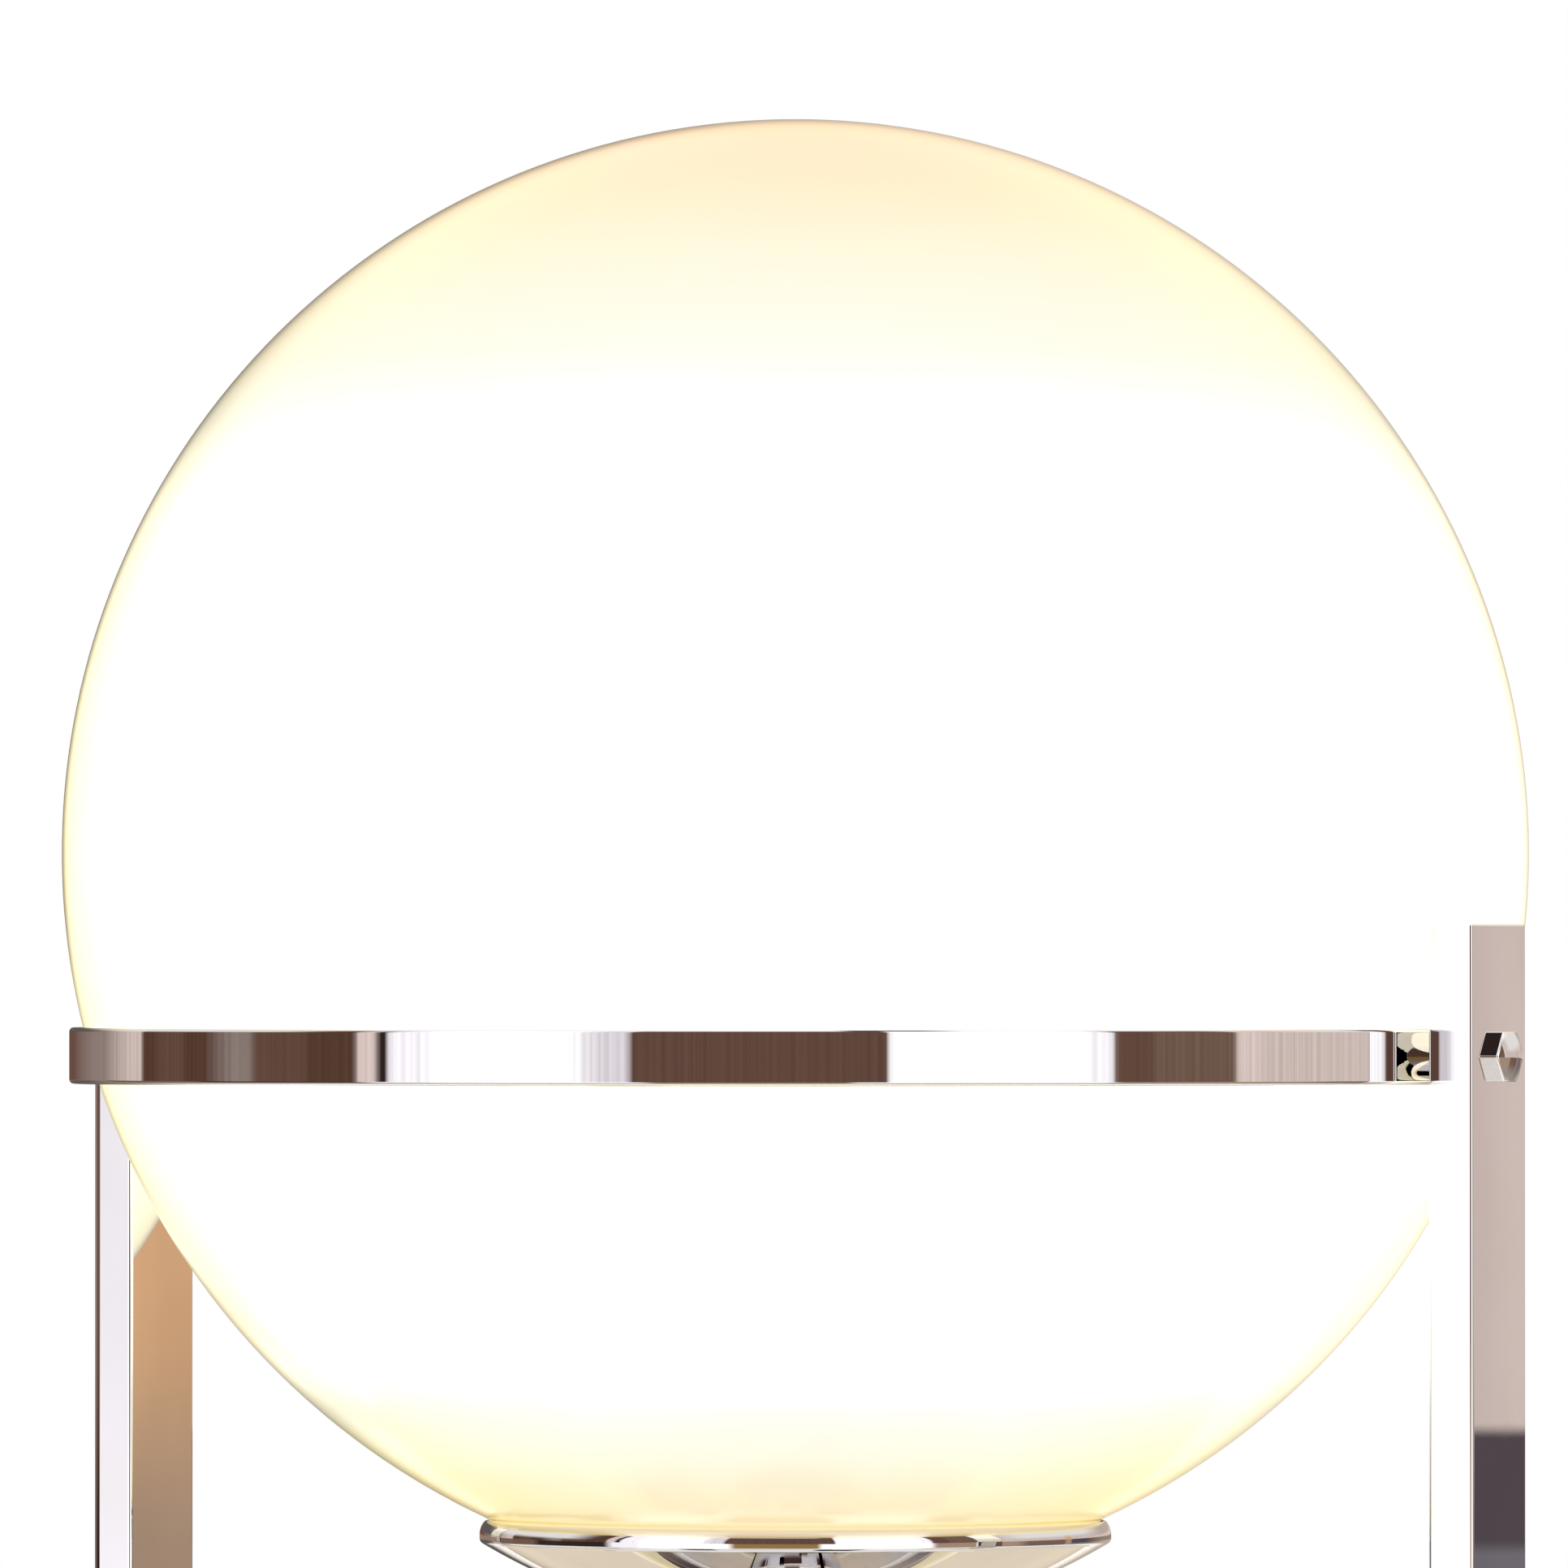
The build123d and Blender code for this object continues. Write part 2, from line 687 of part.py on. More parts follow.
# Base cover: the closing plate, countersunk for its screws
cover_head_radius = cover_screw_radius + cover_thickness
with BuildPart() as base_cover:
    with BuildSketch(Plane.XY.offset(pad_thickness)):
        Circle(base_inner - cover_gap)
    extrude(amount=cover_thickness)
    with Locations(Plane.XY.offset(pad_thickness).rotated((180, 0, 0))):
        with PolarLocations(boss_circle, boss_count, start_angle=boss_start_angle):
            CounterSinkHole(
                cover_screw_radius + slip_fit,
                cover_head_radius + slip_fit,
                depth=2 * cover_thickness,
            )
save(base_cover, "base_cover")

# Cover screws: countersunk, up into the weight's bosses
with BuildPart() as cover_screw:
    with BuildSketch(Plane.XZ):
        with BuildLine():
            Polyline(
                (0, 0),
                (cover_head_radius, 0),
                (cover_screw_radius, cover_thickness),
                (cover_screw_radius, cover_screw_length),
                (0, cover_screw_length),
                close=True,
            )
        make_face()
    revolve(axis=Axis.Z)
    with BuildSketch():
        Rectangle(2 * cover_head_radius, cover_screw_radius / 2)
    extrude(amount=cover_thickness / 2, mode=Mode.SUBTRACT)
with BuildPart() as cover_screws:
    with Locations(Plane.XY.offset(pad_thickness)):
        with PolarLocations(boss_circle, boss_count, start_angle=boss_start_angle):
            add(cover_screw.part)
save(cover_screws, "cover_screws")

# Base pad: felt under the cover, holed for the screws
with BuildPart() as base_pad:
    with BuildSketch():
        Circle(base_radius - pad_inset)
        with PolarLocations(boss_circle, boss_count, start_angle=boss_start_angle):
            Circle(cover_head_radius + pad_hole_margin, mode=Mode.SUBTRACT)
    extrude(amount=pad_thickness)
save(base_pad, "base_pad")

# Leg bolts: cap screws from under the weight into the feet of the legs
with BuildPart() as leg_bolt:
    Cylinder(
        leg_bolt_head_radius,
        leg_bolt_head_height,
        align=(Align.CENTER, Align.CENTER, Align.MAX),
    )
    Cylinder(
        leg_bolt_radius,
        weight_thickness + base_wall + leg_bolt_grip,
        align=(Align.CENTER, Align.CENTER, Align.MIN),
    )
    with BuildSketch(Plane.XY.offset(-leg_bolt_head_height)):
        RegularPolygon(leg_bolt_key_flats / 2, hexagon_side_count, major_radius=False)
    extrude(amount=leg_bolt_key_depth, mode=Mode.SUBTRACT)
with BuildPart() as leg_bolts:
    with Locations(Plane.XY.offset(weight_under)):
        with GridLocations(2 * leg_centre, leg_bolt_spacing, 2, 2):
            add(leg_bolt.part)
save(leg_bolts, "leg_bolts")

# Dimmer body: a box under the deck with a seat for the bushing and a pocket for the shaft
with BuildPart() as dimmer_body:
    with BuildSketch(dimmer_plane.offset(-base_wall - dimmer_height)):
        Rectangle(dimmer_width, dimmer_width)
    extrude(amount=dimmer_height)
    with Locations(dimmer_plane.offset(-base_wall)):
        Hole(bushing_radius + slip_fit, depth=bushing_root)
        Hole(shaft_radius + running_fit, depth=bushing_root + shaft_root + running_fit)
save(dimmer_body, "dimmer_body")

# Dimmer bushing and nut: a threaded tube through the deck, clamped from above
with BuildPart() as dimmer_bushing:
    with BuildSketch(dimmer_plane.offset(-base_wall - bushing_root)):
        Circle(bushing_radius)
        Circle(shaft_radius + running_fit, mode=Mode.SUBTRACT)
    extrude(amount=bushing_root + base_wall + bushing_rise)
save(dimmer_bushing, "dimmer_bushing")
with BuildPart() as dimmer_nut:
    with BuildSketch(dimmer_plane):
        RegularPolygon(dimmer_nut_flats / 2, hexagon_side_count, major_radius=False)
        Circle(bushing_radius + slip_fit, mode=Mode.SUBTRACT)
    extrude(amount=dimmer_nut_height)
save(dimmer_nut, "dimmer_nut")

# Dimmer shaft: from inside the body up into the knob
shaft_bottom = -base_wall - bushing_root - shaft_root
shaft_top = knob_gap + knob_height - knob_top
with BuildPart() as dimmer_shaft:
    with BuildSketch(dimmer_plane.offset(shaft_bottom)):
        Circle(shaft_radius)
    extrude(amount=shaft_top - shaft_bottom)
save(dimmer_shaft, "dimmer_shaft")

# Dimmer knob: fluted, hollow underneath over the nut, with a pointer groove on top
with BuildPart() as dimmer_knob:
    with BuildSketch(dimmer_plane.offset(knob_gap)):
        Circle(knob_radius)
    extrude(amount=knob_height)
    fillet(dimmer_knob.faces().sort_by(Axis.Z)[-1].edges(), knob_round)
    with Locations(dimmer_plane.offset(knob_gap)):
        Hole(knob_hollow_radius, depth=knob_hollow_depth)
        Hole(shaft_radius + running_fit, depth=knob_height - knob_top)
    with BuildSketch(dimmer_plane.offset(knob_gap)):
        with PolarLocations(knob_radius, flute_count):
            Circle(flute_radius)
    extrude(amount=knob_height - knob_top, mode=Mode.SUBTRACT)
    with BuildSketch(dimmer_plane.offset(knob_gap + knob_height)):
        Rectangle(pointer_width, knob_radius, align=(Align.CENTER, Align.MIN))
    extrude(amount=-pointer_depth, mode=Mode.SUBTRACT)
save(dimmer_knob, "dimmer_knob")

# Inlet bush and nut: the cord's way in through the skirt
nut_seat = base_radius - sphere_drop(base_inner, corner_radius(inlet_nut_flats)) + slip_fit
with BuildPart() as inlet_bush:
    with BuildSketch(inlet_plane):
        Circle(inlet_flange_radius)
    extrude(amount=inlet_flange)
    fillet(inlet_bush.faces().sort_by(Axis.Y)[-1].edges(), inlet_flange / 2)
    with BuildSketch(inlet_plane):
        Circle(inlet_radius)
    extrude(amount=inlet_flange - inlet_length)
    with Locations(inlet_plane):
        Hole(inlet_bore, depth=inlet_length)
save(inlet_bush, "inlet_bush")
with BuildPart() as inlet_nut:
    with BuildSketch(inlet_plane.offset(-nut_seat)):
        RegularPolygon(inlet_nut_flats / 2, hexagon_side_count, major_radius=False)
        Circle(inlet_radius + slip_fit, mode=Mode.SUBTRACT)
    extrude(amount=-inlet_nut_height)
save(inlet_nut, "inlet_nut")

# Terminal block and its screws, reached from below
block_plane = Plane((0, block_reach, deck_under - block_height))
with BuildPart() as terminal_block:
    with BuildSketch(block_plane):
        Rectangle(block_length, block_depth)
    extrude(amount=block_height)
    with Locations(block_plane):
        with GridLocations(block_pitch, block_row_spacing, block_ways, 2):
            Hole(terminal_screw_radius + slip_fit, depth=terminal_well_depth)
save(terminal_block, "terminal_block")
with BuildPart() as terminal_screw:
    with BuildSketch():
        Circle(terminal_screw_radius)
    extrude(amount=terminal_screw_height)
    with BuildSketch():
        Rectangle(2 * terminal_screw_radius, terminal_slot_width)
    extrude(amount=terminal_slot_depth, mode=Mode.SUBTRACT)
with BuildPart() as terminal_screws:
    with Locations(block_plane.offset(terminal_well_depth - terminal_screw_height)):
        with GridLocations(block_pitch, block_row_spacing, block_ways, 2):
            add(terminal_screw.part)
save(terminal_screws, "terminal_screws")

# Earth tag and screw on the weight's underside
with BuildPart() as earth_tag:
    with BuildSketch(earth_plane.offset(weight_under)):
        with Locations((earth_tail, 0)):
            Rectangle(earth_reach - earth_tail, earth_tag_width, align=(Align.MIN, Align.CENTER))
        with Locations((earth_reach, 0)):
            Circle(earth_tag_width / 2)
            Circle(earth_screw_radius + slip_fit, mode=Mode.SUBTRACT)
    extrude(amount=-earth_tag_sheet)
save(earth_tag, "earth_tag")
with BuildPart() as earth_screw:
    with BuildSketch(earth_plane.offset(weight_under - earth_tag_sheet)):
        with Locations((earth_reach, 0)):
            Circle(earth_head_radius)
    extrude(amount=-earth_head_height)
    with BuildSketch(earth_plane.offset(weight_under - earth_tag_sheet)):
        with Locations((earth_reach, 0)):
            Circle(earth_screw_radius)
    extrude(amount=earth_screw_length)
save(earth_screw, "earth_screw")

# Wires: neutral and live meet under the nipple and rise through it, the feed passes it by
earth_level = weight_under - earth_tag_sheet / 2
block_stub = block_front - wire_stub
dimmer_stub = dimmer_back + wire_stub
block_end = [
    (block_front, terminal_level),
    (block_stub, terminal_level),
    (block_stub - wire_slope_run, wire_level),
]
dimmer_end = [
    (dimmer_back, terminal_level),
    (dimmer_stub, terminal_level),
    (dimmer_stub + wire_slope_run, wire_level),
]
riser = [(0, wire_level), (0, wire_top)]
earth_end = earth_corner.normalized() * earth_tail
earth_route = [
    (block_length / 2, block_reach, earth_level),
    (earth_corner.X, earth_corner.Y, earth_level),
    (earth_end.X, earth_end.Y, earth_level),
]
routes = {
    "neutral_wire": [(-wire_offset, y, z) for y, z in block_end + riser],
    "live_wire": [(wire_offset, y, z) for y, z in dimmer_end + riser],
    "feed_wire": [(feed_offset, y, z) for y, z in block_end + dimmer_end[::-1]],
    "earth_wire": earth_route,
}
for wire_name, route_points in routes.items():
    with BuildPart() as wire:
        with BuildLine() as route:
            FilletPolyline(*route_points, radius=wire_bend)
        with BuildSketch(Plane(route.line @ 0, z_dir=route.line % 0)):
            Circle(wire_radius)
        sweep(path=route.line)
    save(wire, wire_name)
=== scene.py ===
"""Globe table lamp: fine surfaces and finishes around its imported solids, in a plain pale studio."""

import json
import logging
import math
from dataclasses import dataclass
from enum import Enum

import bpy
import numpy as np
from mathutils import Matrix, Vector


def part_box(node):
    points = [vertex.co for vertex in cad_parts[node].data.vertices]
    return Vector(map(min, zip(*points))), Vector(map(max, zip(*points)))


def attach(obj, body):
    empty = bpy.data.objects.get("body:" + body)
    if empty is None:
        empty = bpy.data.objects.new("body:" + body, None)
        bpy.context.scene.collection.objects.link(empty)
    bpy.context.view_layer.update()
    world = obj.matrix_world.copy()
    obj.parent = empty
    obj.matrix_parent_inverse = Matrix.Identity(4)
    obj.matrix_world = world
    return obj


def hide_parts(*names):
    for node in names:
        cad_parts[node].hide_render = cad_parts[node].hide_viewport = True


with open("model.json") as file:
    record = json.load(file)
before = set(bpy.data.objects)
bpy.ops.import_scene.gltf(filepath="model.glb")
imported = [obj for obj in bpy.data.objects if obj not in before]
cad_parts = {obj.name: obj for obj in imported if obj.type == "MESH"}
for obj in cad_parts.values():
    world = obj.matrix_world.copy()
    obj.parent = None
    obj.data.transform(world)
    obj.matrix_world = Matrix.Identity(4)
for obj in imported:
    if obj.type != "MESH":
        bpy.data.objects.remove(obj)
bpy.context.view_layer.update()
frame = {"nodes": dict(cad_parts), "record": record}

log = logging.getLogger("globe_lamp")

MM = 0.001
GLOBE_RADIUS = 150.0
BULB_RADIUS = 30.0
BULB_CENTRE = 156.174
BEAD_STEPS = 12
Colour = tuple[float, float, float]
Levels = tuple[tuple[float, float], ...]


class Body(Enum):
    """The moving groups that the fine pieces ride on."""

    STAND = "stand"
    GLOBE = "globe"
    BULB = "bulb"


class Grain(Enum):
    """How a finish's fine pattern runs over the piece."""

    EVEN = "even"
    AROUND = "around"
    UPRIGHT = "upright"
    FIBRES = "fibres"
    PITTED = "pitted"


def linear(red: int, green: int, blue: int) -> Colour:
    """Scene-linear colour of a display colour, by the usual display curve.

    Args:
        red: its red, in steps of 0 to 255.
        green: its green.
        blue: its blue.

    Returns:
        The colour as a shader takes it.
    """
    share = np.array([red, green, blue]) / 255
    low = share / 12.92
    high = ((share + 0.055) / 1.055) ** 2.4
    return tuple(float(v) for v in np.where(share <= 0.04045, low, high))


def span(node: str, axis: str) -> tuple[float, float]:
    """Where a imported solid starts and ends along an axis.

    Args:
        node: the solid's name.
        axis: x, y or z.

    Returns:
        Its least and its greatest coordinate, in millimetres.
    """
    low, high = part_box(node)
    place = "xyz".index(axis)
    return low[place] / MM, high[place] / MM


# Outlines and surfaces


@dataclass
class Outline:
    """A plane curve with its outward normals, both as arrays of pairs, in millimetres."""

    points: np.ndarray
    normals: np.ndarray

    def then(self, *others: "Outline") -> "Outline":
        """This outline followed by others, end to end."""
        parts = (self, *others)
        return Outline(
            np.concatenate([p.points for p in parts]),
            np.concatenate([p.normals for p in parts]),
        )


def arc(
    centre: tuple[float, float], radius: float, start: float, end: float, steps: int, out: float = 1.0
) -> Outline:
    """A circular arc: centre + radius * (cos t, sin t), t running evenly from start to end.

    Args:
        centre: the arc's middle, as distance from the axis and height.
        radius: its radius.
        start: angle of its first point, in radians.
        end: angle of its last point, in radians.
        steps: how many intervals it has.
        out: 1 if the surface looks away from the centre, -1 if it looks towards it.

    Returns:
        The arc with its normals.
    """
    t = np.linspace(start, end, steps + 1)
    ray = np.stack([np.cos(t), np.sin(t)], axis=1)
    return Outline(np.array(centre) + radius * ray, out * ray)


def rounded(corners: list[tuple[float, float]], radii: list[float], steps: int = 6) -> Outline:
    """A closed polygon, counter-clockwise, with a circular arc in place of each corner.

    At a corner the arc's centre lies on the bisector, radius / sin(half angle) away. Its normals turn evenly
    from one side's normal to the next one's, and its points are centre + sign * radius * normal, with sign
    1 at an outer corner and -1 at an inner one.

    Args:
        corners: the polygon's corners.
        radii: the radius at each corner.
        steps: intervals of each arc.

    Returns:
        The rounded outline, with straight sides between the arcs.
    """
    corner = np.array(corners, float)
    radius = np.array(radii, float)[:, None]
    back = np.roll(corner, 1, axis=0) - corner
    ahead = np.roll(corner, -1, axis=0) - corner
    back /= np.linalg.norm(back, axis=1, keepdims=True)
    ahead /= np.linalg.norm(ahead, axis=1, keepdims=True)
    half = np.arccos(np.clip((back * ahead).sum(axis=1, keepdims=True), -1, 1)) / 2
    bisector = back + ahead
    bisector /= np.linalg.norm(bisector, axis=1, keepdims=True)
    centre = corner + bisector * radius / np.sin(half)
    first = np.stack([-back[:, 1], back[:, 0]], axis=1)
    last = np.stack([ahead[:, 1], -ahead[:, 0]], axis=1)
    turn = np.arctan2(
        first[:, 0] * last[:, 1] - first[:, 1] * last[:, 0],
        (first * last).sum(axis=1),
    )
    angle = np.arctan2(first[:, 1], first[:, 0])[:, None] + turn[:, None] * np.linspace(0, 1, steps + 1)
    normal = np.stack([np.cos(angle), np.sin(angle)], axis=2)
    sign = np.sign(turn)[:, None, None]
    points = centre[:, None, :] + sign * radius[:, None, :] * normal
    return Outline(points.reshape(-1, 2), normal.reshape(-1, 2))


@dataclass
class Surface:
    """A mesh in the making, in millimetres: points with their normals, four- and three-cornered faces."""

    points: np.ndarray
    normals: np.ndarray
    quads: np.ndarray
    tris: np.ndarray

    @classmethod
    def from_grid(
        cls,
        points: np.ndarray,
        normals: np.ndarray,
        ring_of_rows: bool = False,
        first_cap: tuple[list[float], list[float]] | None = None,
        last_cap: tuple[list[float], list[float]] | None = None,
    ) -> "Surface":
        """Skin over a grid of points whose columns close round.

        Args:
            points: rows x columns x 3.
            normals: the same shape.
            ring_of_rows: whether the last row joins the first one.
            first_cap: point and normal of a middle that closes the first row, if any.
            last_cap: the same for the last row.

        Returns:
            The closed surface, faces outwards.
        """
        rows, columns = points.shape[:2]
        index = np.arange(rows * columns).reshape(rows, columns)
        index = np.concatenate([index, index[:, :1]], axis=1)
        if ring_of_rows:
            index = np.concatenate([index, index[:1]], axis=0)
        around = [index[:-1, :-1], index[:-1, 1:], index[1:, 1:], index[1:, :-1]]
        quads = np.stack(around, axis=2).reshape(-1, 4)
        all_points, all_normals, fans = [points.reshape(-1, 3)], [normals.reshape(-1, 3)], []
        for cap, row in ((first_cap, index[0]), (last_cap, index[-1])):
            if cap is not None:
                middle = np.full(columns, sum(len(p) for p in all_points))
                fans.append(np.stack([middle, row[:-1], row[1:]], axis=1))
                all_points.append(np.array([cap[0]], float))
                all_normals.append(np.array([cap[1]], float))
        tris = np.concatenate(fans) if fans else np.zeros((0, 3), int)
        made = cls(np.concatenate(all_points), np.concatenate(all_normals), quads, tris)
        made.quads = made.turned_out(made.quads)
        made.tris = made.turned_out(made.tris)
        return made

    def turned_out(self, faces: np.ndarray) -> np.ndarray:
        """Faces in the order of corners that makes each look along its normals.

        Args:
            faces: corner numbers, a row a face.

        Returns:
            The same faces, with those that looked inwards turned round.
        """
        a, b, c = (self.points[faces[:, k]] for k in range(3))
        mean = self.normals[faces].mean(axis=1)
        inward = (np.cross(b - a, c - a) * mean).sum(axis=1) < 0
        return np.where(inward[:, None], faces[:, ::-1], faces)

    def placed(self, axes: np.ndarray, origin: list[float]) -> "Surface":
        """A copy whose own x, y and z run along the rows of axes, with its zero at origin."""
        return Surface(self.points @ axes + np.array(origin), self.normals @ axes, self.quads, self.tris)

    def joined(self, other: "Surface") -> "Surface":
        """One surface that holds this one and another."""
        start = len(self.points)
        return Surface(
            np.concatenate([self.points, other.points]),
            np.concatenate([self.normals, other.normals]),
            np.concatenate([self.quads, other.quads + start]),
            np.concatenate([self.tris, other.tris + start]),
        )


def revolve(outline: Outline, segments: int, closed: bool, top: bool = False, foot: bool = False) -> Surface:
    """An outline of (distance, height) pairs turned about Z: (d cos a, d sin a, h) for a full turn of a.

    Args:
        outline: the curve, in a plane through the axis.
        segments: columns round the axis.
        closed: whether the outline's end joins its start.
        top: whether its first point is closed by a middle on the axis.
        foot: whether its last point is closed by a middle on the axis.

    Returns:
        The turned surface.
    """
    a = np.linspace(0, 2 * np.pi, segments, endpoint=False)
    spin = np.stack([np.cos(a), np.sin(a)], axis=1)

    def turn(pairs: np.ndarray) -> np.ndarray:
        """Pairs carried round the axis, as rows x columns x 3."""
        flat = pairs[:, None, :1] * spin[None]
        return np.concatenate([flat, np.broadcast_to(pairs[:, None, 1:], (*flat.shape[:2], 1))], axis=2)

    def middle(row: int) -> tuple[list[float], list[float]]:
        """The point on the axis beside a row, with an upright normal."""
        return [0, 0, outline.points[row, 1]], [0, 0, math.copysign(1, outline.normals[row, 1])]

    return Surface.from_grid(
        turn(outline.points),
        turn(outline.normals),
        closed,
        middle(0) if top else None,
        middle(-1) if foot else None,
    )


def grid_normals(points: np.ndarray) -> np.ndarray:
    """Normals of a grid whose columns close round: the cross product of its two difference directions.

    Args:
        points: rows x columns x 3.

    Returns:
        Unit normals of the same shape.
    """
    along = np.gradient(points, axis=0)
    around = np.roll(points, -1, axis=1) - np.roll(points, 1, axis=1)
    normal = np.cross(around, along)
    return normal / np.linalg.norm(normal, axis=2, keepdims=True)


def glass_shell(radius: float, wall: float, mouth: float, centre: float, steps: int) -> Outline:
    """Outline of a blown ball with a round mouth below and a fire-polished lip.

    The outer arc runs down from the pole, a half circle of the wall's thickness makes the lip, and the inner
    arc runs back up. The lip's middle lies at the angle t from the pole where (radius - wall / 2) sin t +
    wall / 2 cos t equals the mouth.

    Args:
        radius: outer radius of the ball.
        wall: thickness of the glass.
        mouth: radius of the mouth.
        centre: height of the ball's middle.
        steps: intervals of the outer arc.

    Returns:
        The open outline from the outer pole to the inner one.
    """
    half = wall / 2
    lip = math.atan2(radius - half, half) + math.acos(mouth / math.hypot(radius - half, half))
    upright = math.pi / 2
    first = upright / steps
    outer = arc((0, centre), radius, upright - first, upright - lip, steps)
    inner = arc((0, centre), radius - wall, upright - lip, upright - first, steps, out=-1)
    middle = (math.sin(lip) * (radius - half), centre + math.cos(lip) * (radius - half))
    bead = arc(middle, half, upright - lip, -upright - lip, BEAD_STEPS)
    bead = Outline(bead.points[1:-1], bead.normals[1:-1])
    return outer.then(bead, inner)


# Finishes


class Graph:
    """A node tree with short calls that add and join nodes."""

    def __init__(self, tree: bpy.types.NodeTree) -> None:
        """Start with an empty tree."""
        self.tree = tree
        tree.nodes.clear()

    def node(self, kind: str, inputs: dict | None = None, **settings: object) -> bpy.types.Node:
        """Add a node.

        Args:
            kind: Blender's name for it, without the ShaderNode start.
            inputs: values, or sockets to join, for its inputs by name or number.
            settings: the node's own properties.

        Returns:
            The new node.
        """
        made = self.tree.nodes.new("ShaderNode" + kind)
        for key, value in settings.items():
            setattr(made, key, value)
        for key, value in (inputs or {}).items():
            if isinstance(value, bpy.types.NodeSocket):
                self.tree.links.new(value, made.inputs[key])
            else:
                made.inputs[key].default_value = value
        return made

    def math(self, operation: str, a: object, b: object = 0.0) -> bpy.types.NodeSocket:
        """Result of a sum on two values or sockets."""
        return self.node("Math", {0: a, 1: b}, operation=operation).outputs[0]

    def ramp(self, factor: bpy.types.NodeSocket, stops: list[tuple[float, Colour]]) -> bpy.types.NodeSocket:
        """Add a colour ramp.

        Args:
            factor: where on the ramp, from 0 to 1.
            stops: places with their colours, in order.

        Returns:
            The ramp's colour there.
        """
        made = self.node("ValToRGB", {0: factor})
        marks = made.color_ramp.elements
        for _ in range(len(stops) - 2):
            marks.new(0.5)
        for mark, (place, colour) in zip(marks, stops, strict=True):
            mark.position = place
            mark.color = (*colour, 1)
        return made.outputs[0]

    def levels(self, factor: bpy.types.NodeSocket, stops: Levels) -> bpy.types.NodeSocket:
        """Plain number of a ramp with these stops at a factor."""
        return self.ramp(factor, [(place, (level, level, level)) for place, level in stops])

    def mix(self, factor: object, a: object, b: object) -> bpy.types.NodeSocket:
        """Blend two colours.

        Args:
            factor: the share of the second colour, a number or a socket.
            a: the first colour, or a socket.
            b: the second colour, or a socket.

        Returns:
            The blend.
        """
        first_input, second_input, colour_output = 6, 7, 2
        made = self.node("Mix", {0: factor}, data_type="RGBA")
        for place, value in ((first_input, a), (second_input, b)):
            if isinstance(value, bpy.types.NodeSocket):
                self.tree.links.new(value, made.inputs[place])
            else:
                made.inputs[place].default_value = (*value, 1)
        return made.outputs[colour_output]

    def between(
        self,
        value: bpy.types.NodeSocket,
        low: float,
        high: float,
        out_low: float = 0.0,
        out_high: float = 1.0,
    ) -> bpy.types.NodeSocket:
        """A value carried smoothly from one range to another, and held at its ends."""
        made = self.node(
            "MapRange",
            {0: value, 1: low, 2: high, 3: out_low, 4: out_high},
            interpolation_type="SMOOTHSTEP",
        )
        return made.outputs[0]


@dataclass(frozen=True)
class Finish:
    """A surface finish with a fine pattern in its colour, gloss and relief."""

    slot: str
    colour: Colour
    second: Colour
    gloss: tuple[float, float]
    grain: Grain = Grain.EVEN
    grain_size: float = 1.0
    relief: float = 0.0
    metal: float = 0.0
    coat: float = 0.0
    coat_gloss: float = 0.05
    coat_ior: float = 1.5
    sheen: float = 0.0
    sheen_gloss: float = 0.4
    colour_spread: tuple[float, float] = (0.3, 0.7)
    gloss_spread: tuple[float, float] = (0.25, 0.75)

    def pattern(self, graph: Graph) -> bpy.types.NodeSocket:
        """Add the pattern that varies over the piece as the grain says.

        Args:
            graph: the finish's node tree.

        Returns:
            The pattern's value, from 0 to 1.
        """
        place = graph.node("TexCoord").outputs["Object"]
        per_metre = 1 / (self.grain_size * MM)
        stretch = {
            Grain.EVEN: (1, 1, 1),
            Grain.AROUND: (0.06, 0.06, 1),
            Grain.UPRIGHT: (1, 1, 0.05),
            Grain.FIBRES: (1, 0.3, 1),
            Grain.PITTED: (1, 1, 1),
        }[self.grain]
        scale = tuple(s * per_metre for s in stretch)
        spot = graph.node("Mapping", {"Vector": place, "Scale": scale}).outputs[0]
        if self.grain is Grain.PITTED:
            pits = graph.node("TexVoronoi", {"Vector": spot, "Scale": 1.0}, feature="SMOOTH_F1")
            return pits.outputs["Distance"]
        noise = {"Vector": spot, "Scale": 1.0, "Detail": 6.0, "Roughness": 0.6}
        return graph.node("TexNoise", noise).outputs[0]

    def material(self) -> bpy.types.Material:
        """The finish as a node material, made once and shared.

        Returns:
            The material.
        """
        name = "finish_" + self.slot
        if name in bpy.data.materials:
            return bpy.data.materials[name]
        made = bpy.data.materials.new(name)
        made.use_nodes = True
        self.wire(Graph(made.node_tree))
        return made

    def shader(self, graph: Graph, inputs: dict) -> None:
        """End the tree with the main shader.

        Args:
            graph: the finish's node tree.
            inputs: the shader's linked inputs, by name.
        """
        fixed = {
            "Metallic": self.metal,
            "Coat Weight": self.coat,
            "Coat Roughness": self.coat_gloss,
            "Coat IOR": self.coat_ior,
            "Sheen Weight": self.sheen,
            "Sheen Roughness": self.sheen_gloss,
        }
        shader = graph.node("BsdfPrincipled", {**fixed, **inputs})
        graph.node("OutputMaterial", {"Surface": shader.outputs[0]})

    def wire(self, graph: Graph) -> None:
        """Join colour, gloss and relief to the pattern.

        Args:
            graph: the finish's node tree.
        """
        value = self.pattern(graph)
        colours = list(zip(self.colour_spread, (self.colour, self.second), strict=True))
        inputs = {
            "Base Color": graph.ramp(value, colours),
            "Roughness": graph.between(value, *self.gloss_spread, *self.gloss),
        }
        if self.relief:
            bump = graph.node("Bump", {"Height": value, "Strength": 1.0, "Distance": self.relief * MM})
            inputs["Normal"] = bump.outputs[0]
        self.shader(graph, inputs)


